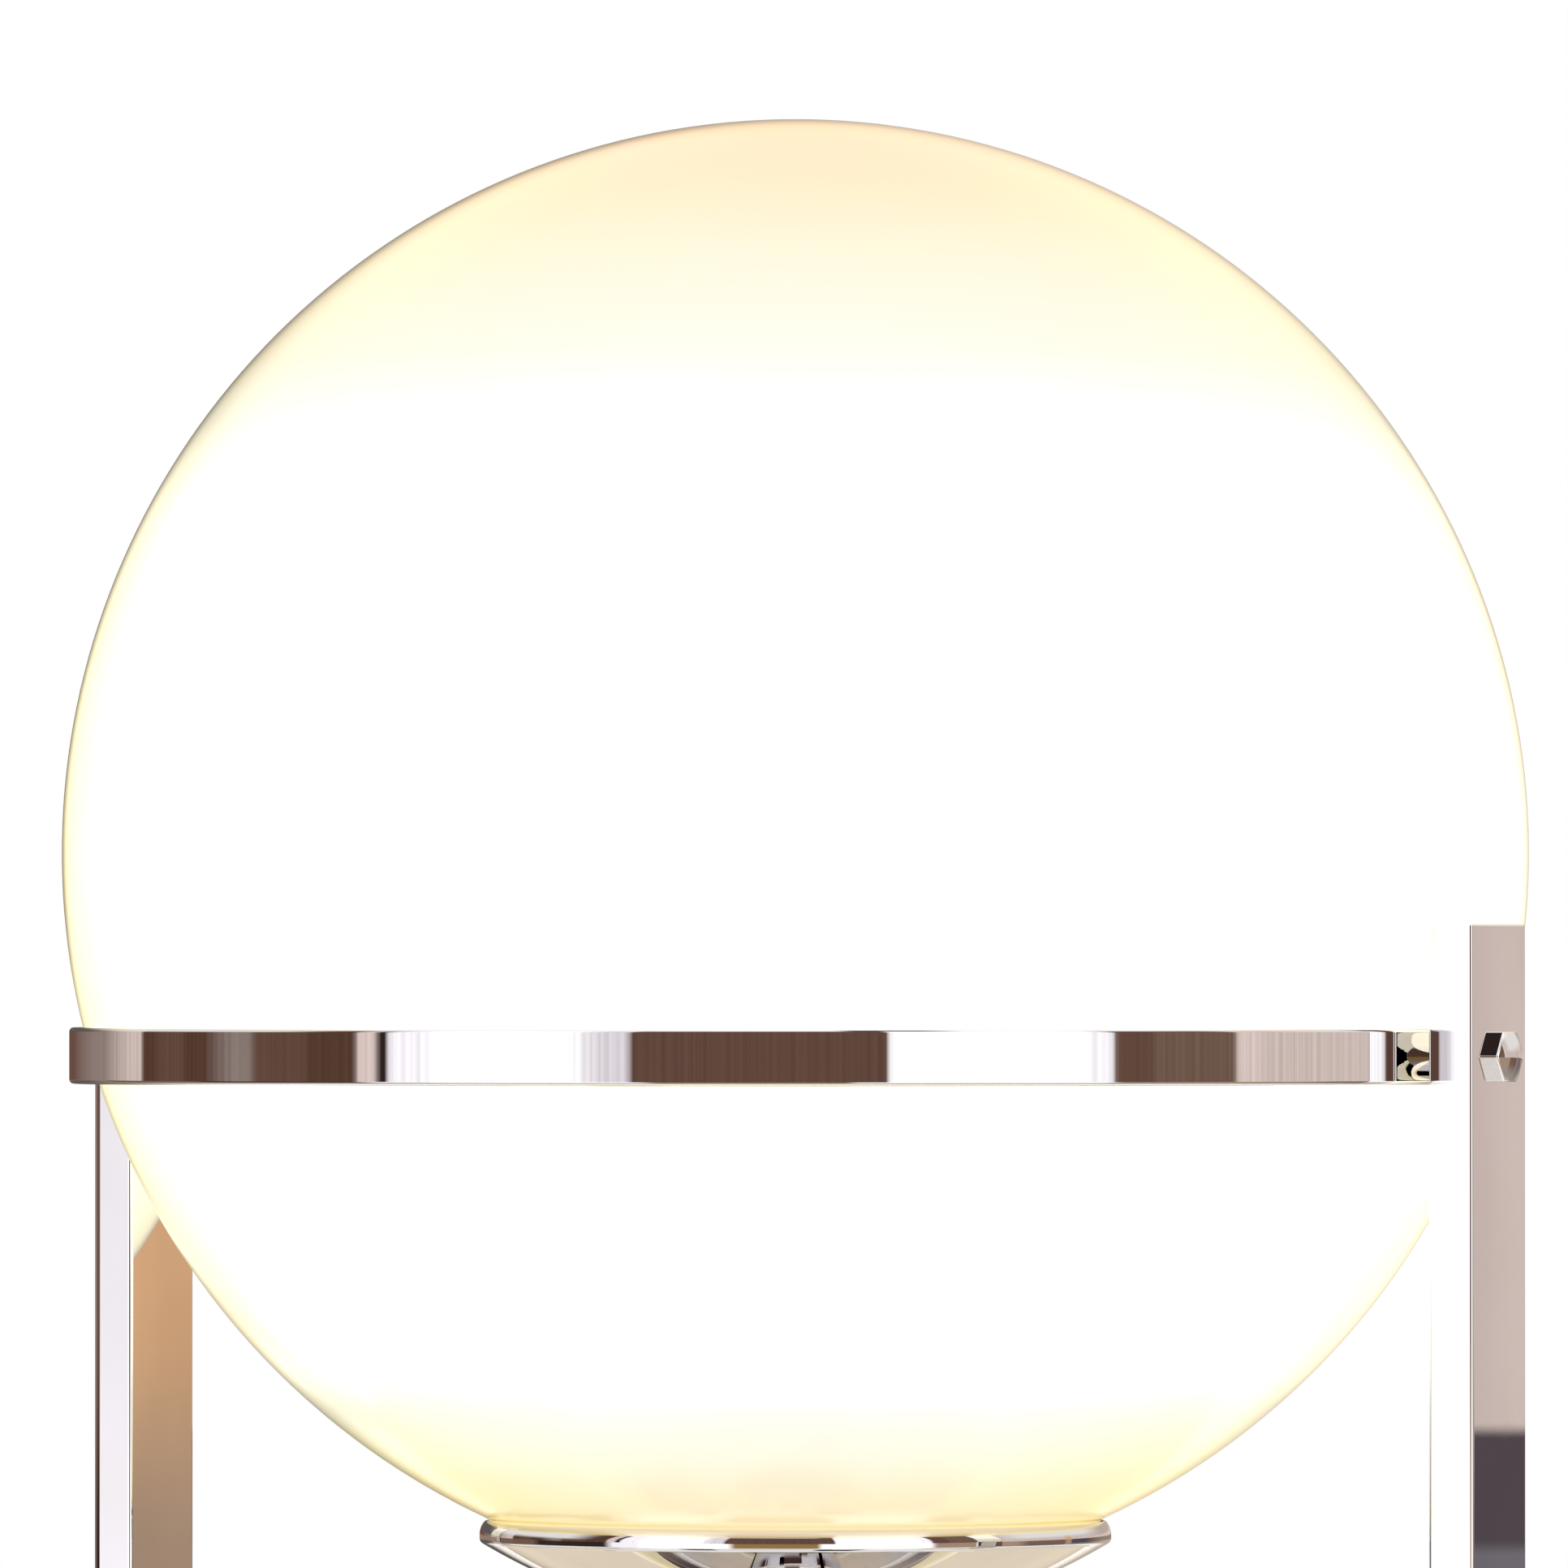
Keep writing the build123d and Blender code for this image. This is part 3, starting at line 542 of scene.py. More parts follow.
@dataclass(frozen=True)
class Plating(Finish):
    """Mirror-polished plating: faint polishing lines, tiny scratches and slow clouding of the gloss."""

    scratch_size: float = 0.35
    scratch_spread: tuple[float, float] = (0.62, 0.75)
    cloud_size: float = 40.0
    cloud_spread: tuple[float, float] = (0.45, 0.75)
    cloud_soil: float = 0.6

    def wire(self, graph: Graph) -> None:
        """Gloss from slow clouds and fine lines, and a relief of a fraction of a micrometre.

        Args:
            graph: the finish's node tree.
        """
        place = graph.node("TexCoord").outputs["Object"]
        slow = {"Vector": place, "Scale": 1 / (self.cloud_size * MM), "Detail": 3.0}
        cloud = graph.node("TexNoise", slow).outputs[0]
        lines = self.pattern(graph)
        fine = {"Vector": place, "Scale": 1 / (self.scratch_size * MM), "Detail": 2.0, "Distortion": 2.0}
        scratches = graph.node("TexNoise", fine).outputs[0]
        wear = graph.math("MULTIPLY", graph.between(scratches, *self.scratch_spread), lines)
        soil = graph.math("MAXIMUM", graph.between(cloud, *self.cloud_spread, 0.0, self.cloud_soil), wear)
        bump = graph.node("Bump", {"Height": lines, "Strength": 1.0, "Distance": self.relief * MM})
        self.shader(
            graph,
            {
                "Base Color": graph.mix(soil, self.colour, self.second),
                "Roughness": graph.between(soil, 0.0, 1.0, *self.gloss),
                "Normal": bump.outputs[0],
            },
        )


@dataclass(frozen=True)
class LitOpal(Finish):
    """Opal glass lit from inside: white round the bulb's level, warm and weaker towards its ends and edge.

    Its ramps run over the height, from 0 at the ball's foot to 1 at its top.
    """

    gloss_spread: tuple[float, float] = (0.2, 0.8)
    centre: float = 0.0
    reach: float = 1.0
    power: float = 1.0
    edge_tint: Colour = (1.0, 1.0, 1.0)
    edge_range: tuple[float, float] = (0.40, 1.0)
    rim_range: tuple[float, float] = (0.85, 1.0)
    tint_levels: Levels = ((0.0, 1.0), (1.0, 1.0))
    rim_levels: Levels = ((0.0, 1.0), (1.0, 1.0))
    cloud_share: float = 0.02
    glow: tuple[tuple[float, Colour], ...] = ()

    def wire(self, graph: Graph) -> None:
        """Light from a ramp over the height, clouded a little, under a glossy clear layer.

        Seen edge-on, the light comes through more glass, so it takes the edge tint there. On the very rim
        only a share of it is left. How far both go is set by the height.

        Args:
            graph: the finish's node tree.
        """
        place = graph.node("TexCoord").outputs["Object"]
        height = graph.node("SeparateXYZ", {0: place}).outputs[2]
        level = graph.math("DIVIDE", graph.math("SUBTRACT", height, self.centre * MM), self.reach * MM)
        cloud = self.pattern(graph)
        drift = graph.math("MULTIPLY", graph.math("SUBTRACT", cloud, 0.5), 2 * self.cloud_share)
        share = graph.math("DIVIDE", graph.math("ADD", graph.math("ADD", level, drift), 1.0), 2.0)
        shine = graph.ramp(share, list(self.glow))
        slant = graph.node("LayerWeight", {"Blend": 0.5}).outputs["Facing"]
        edge = graph.between(slant, *self.edge_range)
        tinted = graph.math("MULTIPLY", edge, graph.levels(share, self.tint_levels))
        tint = graph.mix(tinted, (1.0, 1.0, 1.0), self.edge_tint)
        light = graph.node("VectorMath", {0: shine, 1: tint}, operation="MULTIPLY").outputs[0]
        rim = graph.between(slant, *self.rim_range)
        lost = graph.math("SUBTRACT", 1.0, graph.levels(share, self.rim_levels))
        left = graph.math("SUBTRACT", 1.0, graph.math("MULTIPLY", rim, lost))
        strength = graph.math("MULTIPLY", left, self.power)
        self.shader(
            graph,
            {
                "Base Color": graph.mix(cloud, self.colour, self.second),
                "Roughness": graph.between(cloud, *self.gloss_spread, *self.gloss),
                "Emission Color": light,
                "Emission Strength": strength,
            },
        )


CHROME = Plating(
    "chrome", (0.80, 0.79, 0.80), (0.73, 0.72, 0.72), (0.0, 0.03), Grain.AROUND, 0.8, 0.00004, metal=1.0
)
FINISHES = {
    f.slot: f
    for f in (
        CHROME,
        LitOpal(
            "opal_glass",
            (0.20, 0.19, 0.175),
            (0.185, 0.175, 0.16),
            (0.10, 0.20),
            grain_size=120.0,
            coat=1.0,
            coat_gloss=0.3,
            coat_ior=1.4,
            centre=span("globe", "z")[1] - GLOBE_RADIUS,
            reach=GLOBE_RADIUS,
            edge_tint=(0.93, 0.84, 0.36),
            tint_levels=(
                (0.0, 1.0), (0.07, 1.0), (0.12, 0.55), (0.20, 0.45), (0.72, 0.45), (0.82, 0.6), (1.0, 0.6)
            ),
            rim_levels=((0.0, 0.42), (0.36, 0.42), (0.46, 0.05), (1.0, 0.05)),
            glow=(
                (0.02, (0.88, 0.66, 0.34)),
                (0.05, (0.92, 0.78, 0.50)),
                (0.09, (0.91, 0.86, 0.67)),
                (0.12, (0.90, 0.885, 0.78)),
                (0.15, (1.25, 1.20, 1.02)),
                (0.18, (1.40, 1.34, 1.12)),
                (0.31, (1.75, 1.66, 1.26)),
                (0.60, (1.75, 1.66, 1.26)),
                (0.735, (1.36, 1.30, 1.12)),
                (0.79, (0.86, 0.85, 0.81)),
                (0.83, (0.76, 0.72, 0.62)),
                (0.90, (0.72, 0.64, 0.47)),
                (0.94, (0.70, 0.54, 0.34)),
                (0.975, (0.64, 0.43, 0.27)),
                (0.99, (0.60, 0.37, 0.17)),
            ),
        ),
        LitOpal(
            "bulb_opal",
            (0.85, 0.82, 0.76),
            (0.80, 0.77, 0.70),
            (0.35, 0.5),
            grain_size=25.0,
            coat=0.3,
            centre=BULB_CENTRE,
            reach=BULB_RADIUS,
            power=2.2,
            glow=((0.0, (0.9, 0.75, 0.5)), (0.35, (1.0, 0.9, 0.7)), (1.0, (1.0, 0.93, 0.78))),
        ),
        Finish(
            "clear_silicone", (0.80, 0.80, 0.77), (0.70, 0.70, 0.66), (0.35, 0.5), grain_size=3.0, relief=0.01
        ),
        Finish(
            "zinc_steel", (0.62, 0.62, 0.63), (0.48, 0.49, 0.52), (0.22, 0.38), Grain.AROUND, 0.5, 0.004, 1.0
        ),
        Finish(
            "bare_brass", (0.78, 0.58, 0.27), (0.62, 0.43, 0.18), (0.2, 0.36), Grain.AROUND, 0.6, 0.004, 1.0
        ),
        Finish(
            "black_phenolic",
            (0.022, 0.02, 0.019),
            (0.034, 0.031, 0.029),
            (0.22, 0.34),
            grain_size=0.9,
            relief=0.004,
        ),
        Finish(
            "white_ceramic",
            (0.86, 0.84, 0.79),
            (0.76, 0.73, 0.67),
            (0.12, 0.25),
            grain_size=2.0,
            relief=0.01,
            coat=0.4,
        ),
        Finish(
            "bulb_white", (0.84, 0.84, 0.82), (0.78, 0.78, 0.75), (0.28, 0.4), grain_size=0.8, relief=0.004
        ),
        Finish("bulb_board_white", (0.86, 0.86, 0.84), (0.72, 0.72, 0.68), (0.4, 0.6), grain_size=2.5),
        Finish(
            "bulb_nickel", (0.74, 0.71, 0.66), (0.60, 0.57, 0.53), (0.2, 0.34), Grain.AROUND, 0.5, 0.003, 1.0
        ),
        Finish(
            "bulb_black", (0.012, 0.012, 0.016), (0.03, 0.03, 0.04), (0.08, 0.2), grain_size=1.5, coat=0.5
        ),
        Finish(
            "cast_grey", (0.10, 0.10, 0.10), (0.17, 0.165, 0.16), (0.6, 0.85), Grain.PITTED, 1.6, 0.12, 0.6
        ),
        Finish(
            "black_plate",
            (0.020, 0.020, 0.021),
            (0.032, 0.032, 0.033),
            (0.5, 0.65),
            grain_size=0.5,
            relief=0.02,
        ),
        Finish(
            "black_felt",
            (0.012, 0.012, 0.013),
            (0.05, 0.05, 0.052),
            (0.9, 1.0),
            Grain.FIBRES,
            0.35,
            0.25,
            sheen=0.4,
        ),
        Finish(
            "terminal_nylon",
            (0.80, 0.79, 0.74),
            (0.70, 0.69, 0.63),
            (0.35, 0.5),
            grain_size=1.2,
            relief=0.006,
        ),
        Finish(
            "wire_blue", (0.01, 0.05, 0.28), (0.015, 0.07, 0.36), (0.3, 0.42), grain_size=0.6, relief=0.004
        ),
        Finish(
            "wire_brown", (0.09, 0.035, 0.015), (0.12, 0.05, 0.02), (0.3, 0.42), grain_size=0.6, relief=0.004
        ),
        Finish(
            "wire_green", (0.02, 0.16, 0.03), (0.45, 0.42, 0.03), (0.3, 0.42), Grain.UPRIGHT, 2.2, 0.004
        ),
    )
}


# Sub-assemblies


class SubAssembly:
    """A group of the lamp's pieces, which makes surfaces into meshes and dresses them."""

    def add(self, name: str, surface: Surface, body: Body, slot: str, *nodes: str) -> None:
        """Make a piece of the lamp from a surface and dress it.

        Args:
            name: the piece's name.
            surface: its shape, in millimetres in the lamp's frame.
            body: the moving group that it rides on.
            slot: the finish that it takes.
            nodes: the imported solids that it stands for.
        """
        mesh = bpy.data.meshes.new(name)
        faces = surface.quads.tolist() + surface.tris.tolist()
        mesh.from_pydata((surface.points * MM).tolist(), [], faces)
        mesh.shade_smooth()
        mesh.normals_split_custom_set_from_vertices(surface.normals.tolist())
        piece = bpy.data.objects.new(name, mesh)
        bpy.context.scene.collection.objects.link(piece)
        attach(piece, body.value)
        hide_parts(*nodes)
        self.dress(piece, slot)
        log.info("%s: %d faces on %s, for %s", name, len(mesh.polygons), body.value, ", ".join(nodes))

    def dress(self, piece: bpy.types.Object, slot: str) -> None:
        """Give a piece the finish of a slot."""
        piece.data.materials.append(FINISHES[slot].material())


@dataclass
class GlobeShade(SubAssembly):
    """The opal glass ball with its mouth."""

    radius: float = GLOBE_RADIUS
    wall: float = 3.0
    mouth: float = 45.0
    segments: int = 192
    steps: int = 120

    def build(self) -> None:
        """Blow the ball: outer skin, lip and inner skin in one closed surface."""
        centre = span("globe", "z")[1] - self.radius
        outline = glass_shell(self.radius, self.wall, self.mouth, centre, self.steps)
        ball = revolve(outline, self.segments, closed=False, top=True, foot=True)
        self.add("glass_globe", ball, Body.GLOBE, "opal_glass", "globe")


@dataclass
class RingAndLegs(SubAssembly):
    """The chrome hoop round the globe, the two flat bars that hold it, and their bolts."""

    ring_wall: float = 2.5
    ring_round: float = 0.9
    leg_round: float = 0.8
    leg_broad_round: float = 2.5
    leg_top_round: float = 0.5
    bolt_flats: float = 10.0
    bolt_hex_height: float = 2.0
    bolt_height: float = 3.9
    bolt_corner_round: float = 0.5
    bolt_edge_round: float = 0.3
    bolt_edge_swell: float = 0.12
    segments: int = 320
    ring_steps: int = 8
    leg_steps: int = 10
    top_rows: int = 9
    dome_rows: int = 10

    def ring(self) -> Surface:
        """The hoop: a rounded rectangle turned about the axis.

        Returns:
            The closed hoop.
        """
        outer = span("support_ring", "x")[1]
        inner = outer - self.ring_wall
        low, high = span("support_ring", "z")
        corners = [(inner, low), (outer, low), (outer, high), (inner, high)]
        section = rounded(corners, [self.ring_round] * len(corners), self.ring_steps)
        return revolve(section, self.segments, closed=True)

    def leg(self, side: int) -> Surface:
        """A bar: a rounded rectangle carried upwards, then drawn in round the top edge.

        One outer edge of each bar is eased more than the rest, so that the bars match after half a turn. On
        the top edge, at the angle b, each point steps in along its normal by r (1 - cos b) and rises by
        r sin b.

        Args:
            side: 1 for the right bar, -1 for the left one.

        Returns:
            The closed bar.
        """
        node = "leg_right" if side > 0 else "leg_left"
        (left, right), (front, back), (foot, top) = (span(node, axis) for axis in "xyz")
        rim = self.leg_top_round
        corners = [(left, front), (right, front), (right, back), (left, back)]
        radii = [self.leg_round] * len(corners)
        radii[1 + side] = self.leg_broad_round
        section = rounded(corners, radii, self.leg_steps)
        bend = np.concatenate([[0.0], np.linspace(0, np.pi / 2, self.top_rows)])[:, None, None]
        rise = np.concatenate([[0.0], np.ones(self.top_rows)])[:, None, None]
        height = foot + rise * (top - rim - foot + rim * np.sin(bend))
        flat = section.points[None] - section.normals[None] * rim * (1 - np.cos(bend))
        points = np.concatenate([flat, np.broadcast_to(height, (*flat.shape[:2], 1))], axis=2)
        level = section.normals[None] * np.cos(bend)
        normals = np.concatenate([level, np.broadcast_to(np.sin(bend), (*flat.shape[:2], 1))], axis=2)
        middle = (left + right) / 2
        return Surface.from_grid(
            points,
            normals,
            first_cap=([middle, 0, foot], [0, 0, -1]),
            last_cap=([middle, 0, top], [0, 0, 1]),
        )

    def bolt_head(self) -> Surface:
        """A hexagon under a ball-shaped dome, standing on its own z = 0.

        The dome's radius is (c^2 + d^2) / 2 d for a corner distance c and a dome height d. A row of the dome
        is the hexagon shrunk by s, at the ball's height over it.

        Returns:
            The closed head, with its axis along z.
        """
        corner = self.bolt_flats / 2 / math.cos(math.pi / 6)
        dome = self.bolt_height - self.bolt_hex_height
        ball = (corner**2 + dome**2) / (2 * dome)
        turn = np.arange(6) * np.pi / 3
        corners = [(corner * c, corner * s) for c, s in zip(np.cos(turn), np.sin(turn), strict=True)]
        section = rounded(corners, [self.bolt_corner_round] * len(corners))
        reach = np.linalg.norm(section.points, axis=1)
        edge = self.bolt_height - ball + np.sqrt(ball**2 - reach**2)
        shrink = np.linspace(1, 0, self.dome_rows + 1)[:-1] * (1 - self.bolt_edge_round / corner)
        flat = section.points[None] * shrink[:, None, None]
        level = self.bolt_height - ball + np.sqrt(ball**2 - (flat**2).sum(axis=2, keepdims=True))
        dome_points = np.concatenate([flat, level], axis=2)
        dome_normals = (dome_points - np.array([0, 0, self.bolt_height - ball])) / ball
        wall_normals = np.concatenate([section.normals, np.zeros((len(reach), 1))], axis=1)
        foot = np.concatenate([section.points, np.zeros((len(reach), 1))], axis=1)
        shoulder = np.concatenate([section.points, (edge - self.bolt_edge_round)[:, None]], axis=1)
        bevel_normals = wall_normals + dome_normals[0]
        bevel = (shoulder + dome_points[0]) / 2 + bevel_normals * self.bolt_edge_round * self.bolt_edge_swell
        bevel_normals = bevel_normals / np.linalg.norm(bevel_normals, axis=1, keepdims=True)
        points = np.concatenate([np.stack([foot, shoulder, bevel]), dome_points])
        normals = np.concatenate([np.stack([wall_normals, wall_normals, bevel_normals]), dome_normals])
        return Surface.from_grid(
            points, normals, first_cap=([0, 0, 0], [0, 0, -1]), last_cap=([0, 0, self.bolt_height], [0, 0, 1])
        )

    def build(self) -> None:
        """Make the hoop, both bars and both bolt heads."""
        self.add("chrome_ring", self.ring(), Body.STAND, "chrome", "support_ring")
        self.add("chrome_leg_right", self.leg(1), Body.STAND, "chrome", "leg_right")
        self.add("chrome_leg_left", self.leg(-1), Body.STAND, "chrome", "leg_left")
        head = self.bolt_head()
        reach = span("leg_right", "x")[1]
        level = sum(span("ring_bolts", "z")) / 2
        right = head.placed(np.array([[0, 1, 0], [0, 0, 1], [1, 0, 0]]), [reach, 0, level])
        left = head.placed(np.array([[0, -1, 0], [0, 0, 1], [-1, 0, 0]]), [-reach, 0, level])
        self.add("bolt_heads", right.joined(left), Body.STAND, "chrome", "ring_bolts")


@dataclass
class DishAndColumn(SubAssembly):
    """The spun chrome bowl under the globe and the tube that carries it."""

    bowl_radius: float = 125.0
    wall: float = 1.2
    rim_radius: float = span("dish", "x")[1]
    lip_height: float = 4.5
    seat_radius: float = 21.0
    hole: float = 5.1
    corner_round: float = 1.2
    curl_radius: float = 4.0
    curl_angle: float = 50.0
    column_radius: float = span("column", "x")[1]
    column_wall: float = 2.0
    edge_round: float = 0.4
    segments: int = 192
    bowl_steps: int = 40
    fillet_steps: int = 8
    lip_steps: int = 12

    def bowl_centre(self) -> float:
        """Height of the middle of the ball that the bowl is part of."""
        return span("dish", "z")[0] + math.sqrt(self.bowl_radius**2 - self.seat_radius**2)

    def bowl_side(self, radius: float, wall_reach: float, curve: float, out: float) -> Outline:
        """One face of the bowl: the ball-shaped arc from the seat, and a fillet that ends upright.

        The fillet's middle lies at the distance wall_reach - curve from the axis and radius - curve from the
        bowl's middle, so it touches both.

        Args:
            radius: the face's own ball radius.
            wall_reach: how far from the axis the fillet ends.
            curve: the fillet's radius.
            out: 1 for the under face, -1 for the inner one.

        Returns:
            The face's outline, from the seat outwards.
        """
        centre = self.bowl_centre()
        across = wall_reach - curve
        drop = math.sqrt((radius - curve) ** 2 - across**2)
        touch = math.atan2(-drop, across)
        start = -math.acos(self.seat_radius / radius)
        bowl = arc((0, centre), radius, start, touch, self.bowl_steps, out)
        fillet = arc((across, centre - drop), curve, touch, 0, self.fillet_steps, out)
        return bowl.then(Outline(fillet.points[1:], fillet.normals[1:]))

    def lip(self) -> Outline:
        """The curled edge: outer arc, a half circle round the tip, and the inner arc back.

        The outer arc turns inwards by the curl's angle less what the half circle takes up.

        Returns:
            The edge's outline, from the outer side to the inner one.
        """
        half = self.wall / 2
        inner = self.curl_radius - self.wall
        middle = self.curl_radius - half
        turn = math.radians(self.curl_angle)
        lip_bottom = self.bowl_centre() - math.sqrt(self.bowl_radius**2 - self.rim_radius**2)
        level = lip_bottom + self.lip_height - self.curl_radius * math.sin(turn)
        across = self.rim_radius - self.curl_radius
        end = turn - half / middle
        tip = (across + middle * math.cos(end), level + middle * math.sin(end))
        outer_arc = arc((across, level), self.curl_radius, 0, end, self.lip_steps)
        tip_arc = arc(tip, half, end, end + math.pi, self.lip_steps)
        inner_arc = arc((across, level), inner, end, 0, self.lip_steps, -1)
        return outer_arc.then(Outline(tip_arc.points[1:-1], tip_arc.normals[1:-1]), inner_arc)

    def dish(self) -> Surface:
        """The bowl in one closed outline, turned about the axis: under face, curled lip, inner face, floor.

        Returns:
            The closed bowl.
        """
        seat = span("dish", "z")[0]
        floor = seat + self.wall
        outer = self.bowl_side(self.bowl_radius, self.rim_radius, self.corner_round, 1)
        inside = self.bowl_radius - self.wall, self.rim_radius - self.wall
        inner = self.bowl_side(*inside, self.corner_round, -1)
        inner = Outline(inner.points[::-1], inner.normals[::-1])
        hole = Outline(
            np.array([[self.hole, floor], [self.hole, floor], [self.hole, seat], [self.hole, seat]]),
            np.array([[0.0, 1.0], [-1.0, 0.0], [-1.0, 0.0], [0.0, -1.0]]),
        )
        return revolve(outer.then(self.lip(), inner, hole), self.segments, closed=True)

    def column(self) -> Surface:
        """The tube: a slim rounded rectangle turned about the axis.

        Returns:
            The closed tube.
        """
        inner, outer = self.column_radius - self.column_wall, self.column_radius
        foot, top = span("column", "z")
        corners = [(inner, foot), (outer, foot), (outer, top), (inner, top)]
        section = rounded(corners, [self.edge_round] * len(corners))
        return revolve(section, self.segments, closed=True)

    def build(self) -> None:
        """Make the bowl and the tube."""
        self.add("chrome_dish", self.dish(), Body.STAND, "chrome", "dish")
        self.add("chrome_column", self.column(), Body.STAND, "chrome", "column")


@dataclass
class Foot(SubAssembly):
    """The pressed chrome shell of the base."""

    radius: float = span("base_shell", "x")[1]
    wall: float = 1.5
    top: float = span("base_shell", "z")[1]
    bottom: float = span("base_shell", "z")[0]
    edge_round: float = 6.0
    hole: float = 5.1
    small_round: float = 0.3
    segments: int = 320
    edge_steps: int = 10

    def build(self) -> None:
        """Press the shell: deck, rounded edge and skirt as one outline turned about the axis."""
        inner, under = self.radius - self.wall, self.top - self.wall
        section = rounded(
            [
                (self.hole, under),
                (inner, under),
                (inner, self.bottom),
                (self.radius, self.bottom),
                (self.radius, self.top),
                (self.hole, self.top),
            ],
            [
                self.small_round,
                self.edge_round - self.wall,
                self.small_round,
                self.small_round,
                self.edge_round,
                self.small_round,
            ],
            self.edge_steps,
        )
        shell = revolve(section, self.segments, closed=True)
        self.add("chrome_base", shell, Body.STAND, "chrome", "base_shell")


@dataclass
class Bulb(SubAssembly):
    """The screw bulb: lit dome, flared body and threaded cap.

    The body's rounds follow its corners, from the plug's foot outwards, up and back down inside.
    """

    radius: float = BULB_RADIUS
    glass_wall: float = 1.2
    dome_mouth: float = 27.9
    dome_centre: float = BULB_CENTRE
    dome_steps: int = 48
    collar_radius: float = span("bulb_body", "x")[1]
    collar: float = span("bulb_body", "z")[1]
    body_wall: float = 2.0
    body_bore: float = 0.5
    body_rounds: tuple[float, ...] = (0.2, 0.4, 0.1, 0.8, 0.6, 0.6, 2.0, 0.2)
    neck_radius: float = 14.5
    neck: float = span("bulb_cap", "z")[1]
    cap_radius: float = span("bulb_cap", "x")[1]
    cap_foot: float = span("bulb_cap", "z")[0]
    cap_wall: float = 0.8
    plug_clearance: float = 0.1
    pitch: float = 3.62
    thread_depth: float = 0.7
    thread_margin: float = 2.6
    segments: int = 128
    thread_rows: int = 140

    def body(self) -> Surface:
        """The flared cup: a rounded outline with a plug below, turned about the axis.

        Returns:
            The closed cup.
        """
        plug = self.cap_radius - self.cap_wall - self.plug_clearance
        section = rounded(
            [
                (self.body_bore, self.cap_foot),
                (plug, self.cap_foot),
                (plug, self.neck),
                (self.neck_radius, self.neck),
                (self.collar_radius, self.collar),
                (self.collar_radius - self.body_wall, self.collar),
                (self.neck_radius - self.body_wall, self.neck + self.body_wall),
                (self.body_bore, self.neck + self.body_wall),
            ],
            list(self.body_rounds),
        )
        return revolve(section, self.segments, closed=True)

    def cap(self) -> Surface:
        """The metal cap with a rounded screw thread.

        The distance from the axis is r - d (1 - cos(2 pi z / p - a)) / 2 at the height z and the angle a,
        with the depth d faded out at both ends. The inner face is a plain tube.

        Returns:
            The closed cap.
        """
        a = np.linspace(0, 2 * np.pi, self.segments, endpoint=False)[None]
        z = np.linspace(self.cap_foot, self.neck, self.thread_rows)[:, None]
        fade = np.clip(np.minimum(z - self.cap_foot, self.neck - z) / self.thread_margin, 0, 1)
        fade = fade * fade * (3 - 2 * fade)
        wave = (1 - np.cos(2 * np.pi * z / self.pitch - a)) / 2
        reach = self.cap_radius - self.thread_depth * fade * wave
        outside = np.stack([reach * np.cos(a), reach * np.sin(a), np.broadcast_to(z, reach.shape)], axis=2)
        tube = self.cap_radius - self.cap_wall
        spin = np.stack([np.cos(a[0]), np.sin(a[0])], axis=1)
        ends = np.array([self.neck, self.cap_foot])[:, None, None]
        rings = np.broadcast_to(tube * spin[None], (2, *spin.shape))
        inside = np.concatenate([rings, np.broadcast_to(ends, (2, len(spin), 1))], axis=2)
        inside_normals = np.concatenate([-spin, np.zeros((len(spin), 1))], axis=1)
        normals = np.concatenate([grid_normals(outside), np.stack([inside_normals, inside_normals])])
        return Surface.from_grid(np.concatenate([outside, inside]), normals, ring_of_rows=True)

    def build(self) -> None:
        """Make the dome, the body and the cap."""
        dome = glass_shell(self.radius, self.glass_wall, self.dome_mouth, self.dome_centre, self.dome_steps)
        ball = revolve(dome, self.segments, closed=False, top=True, foot=True)
        self.add("bulb_dome", ball, Body.BULB, "bulb_opal", "bulb_glass")
        self.add("bulb_flare", self.body(), Body.BULB, "bulb_white", "bulb_body")
        self.add("bulb_thread", self.cap(), Body.BULB, "bulb_nickel", "bulb_cap")


@dataclass
class Lampholder(SubAssembly):
    """The holder's outer sleeve with its inturned top edge.

    Its rounds follow its corners, from the foot's inner edge outwards, up and back down inside.
    """

    outer: float = span("holder_sleeve", "x")[1]
    inner: float = 17.1
    foot: float = span("holder_sleeve", "z")[0]
    top: float = span("holder_sleeve", "z")[1]
    lip_inner: float = 14.2
    lip: float = 1.8
    rounds: tuple[float, ...] = (0.2, 0.3, 0.7, 0.4, 0.4, 0.2)
    segments: int = 128

    def build(self) -> None:
        """Turn the sleeve's outline about the axis."""
        section = rounded(
            [
                (self.inner, self.foot),
                (self.outer, self.foot),
                (self.outer, self.top),
                (self.lip_inner, self.top),
                (self.lip_inner, self.top - self.lip),
                (self.inner, self.top - self.lip),
            ],
            list(self.rounds),
        )
        sleeve = revolve(section, self.segments, closed=True)
        self.add("holder_tube", sleeve, Body.STAND, "black_phenolic", "holder_sleeve")


def dress_nodes() -> None:
    """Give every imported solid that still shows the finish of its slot."""
    slots = {row["node"]: row["material_slot"] for row in frame["record"]["subparts"]}
    for name, node in frame["nodes"].items():
        if not node.hide_render:
            node.data.materials.clear()
            node.data.materials.append(FINISHES[slots[name]].material())
            log.info("%s: packed solid in %s", name, slots[name])


# Studio


# The share of the room's light that the chrome mirrors
MIRRORED = 0.8


def shown(red: int, green: int, blue: int) -> Colour:
    """Light that the chrome mirrors as this display colour, in steps of 0 to 255."""
    return tuple(v / MIRRORED for v in linear(red, green, blue))


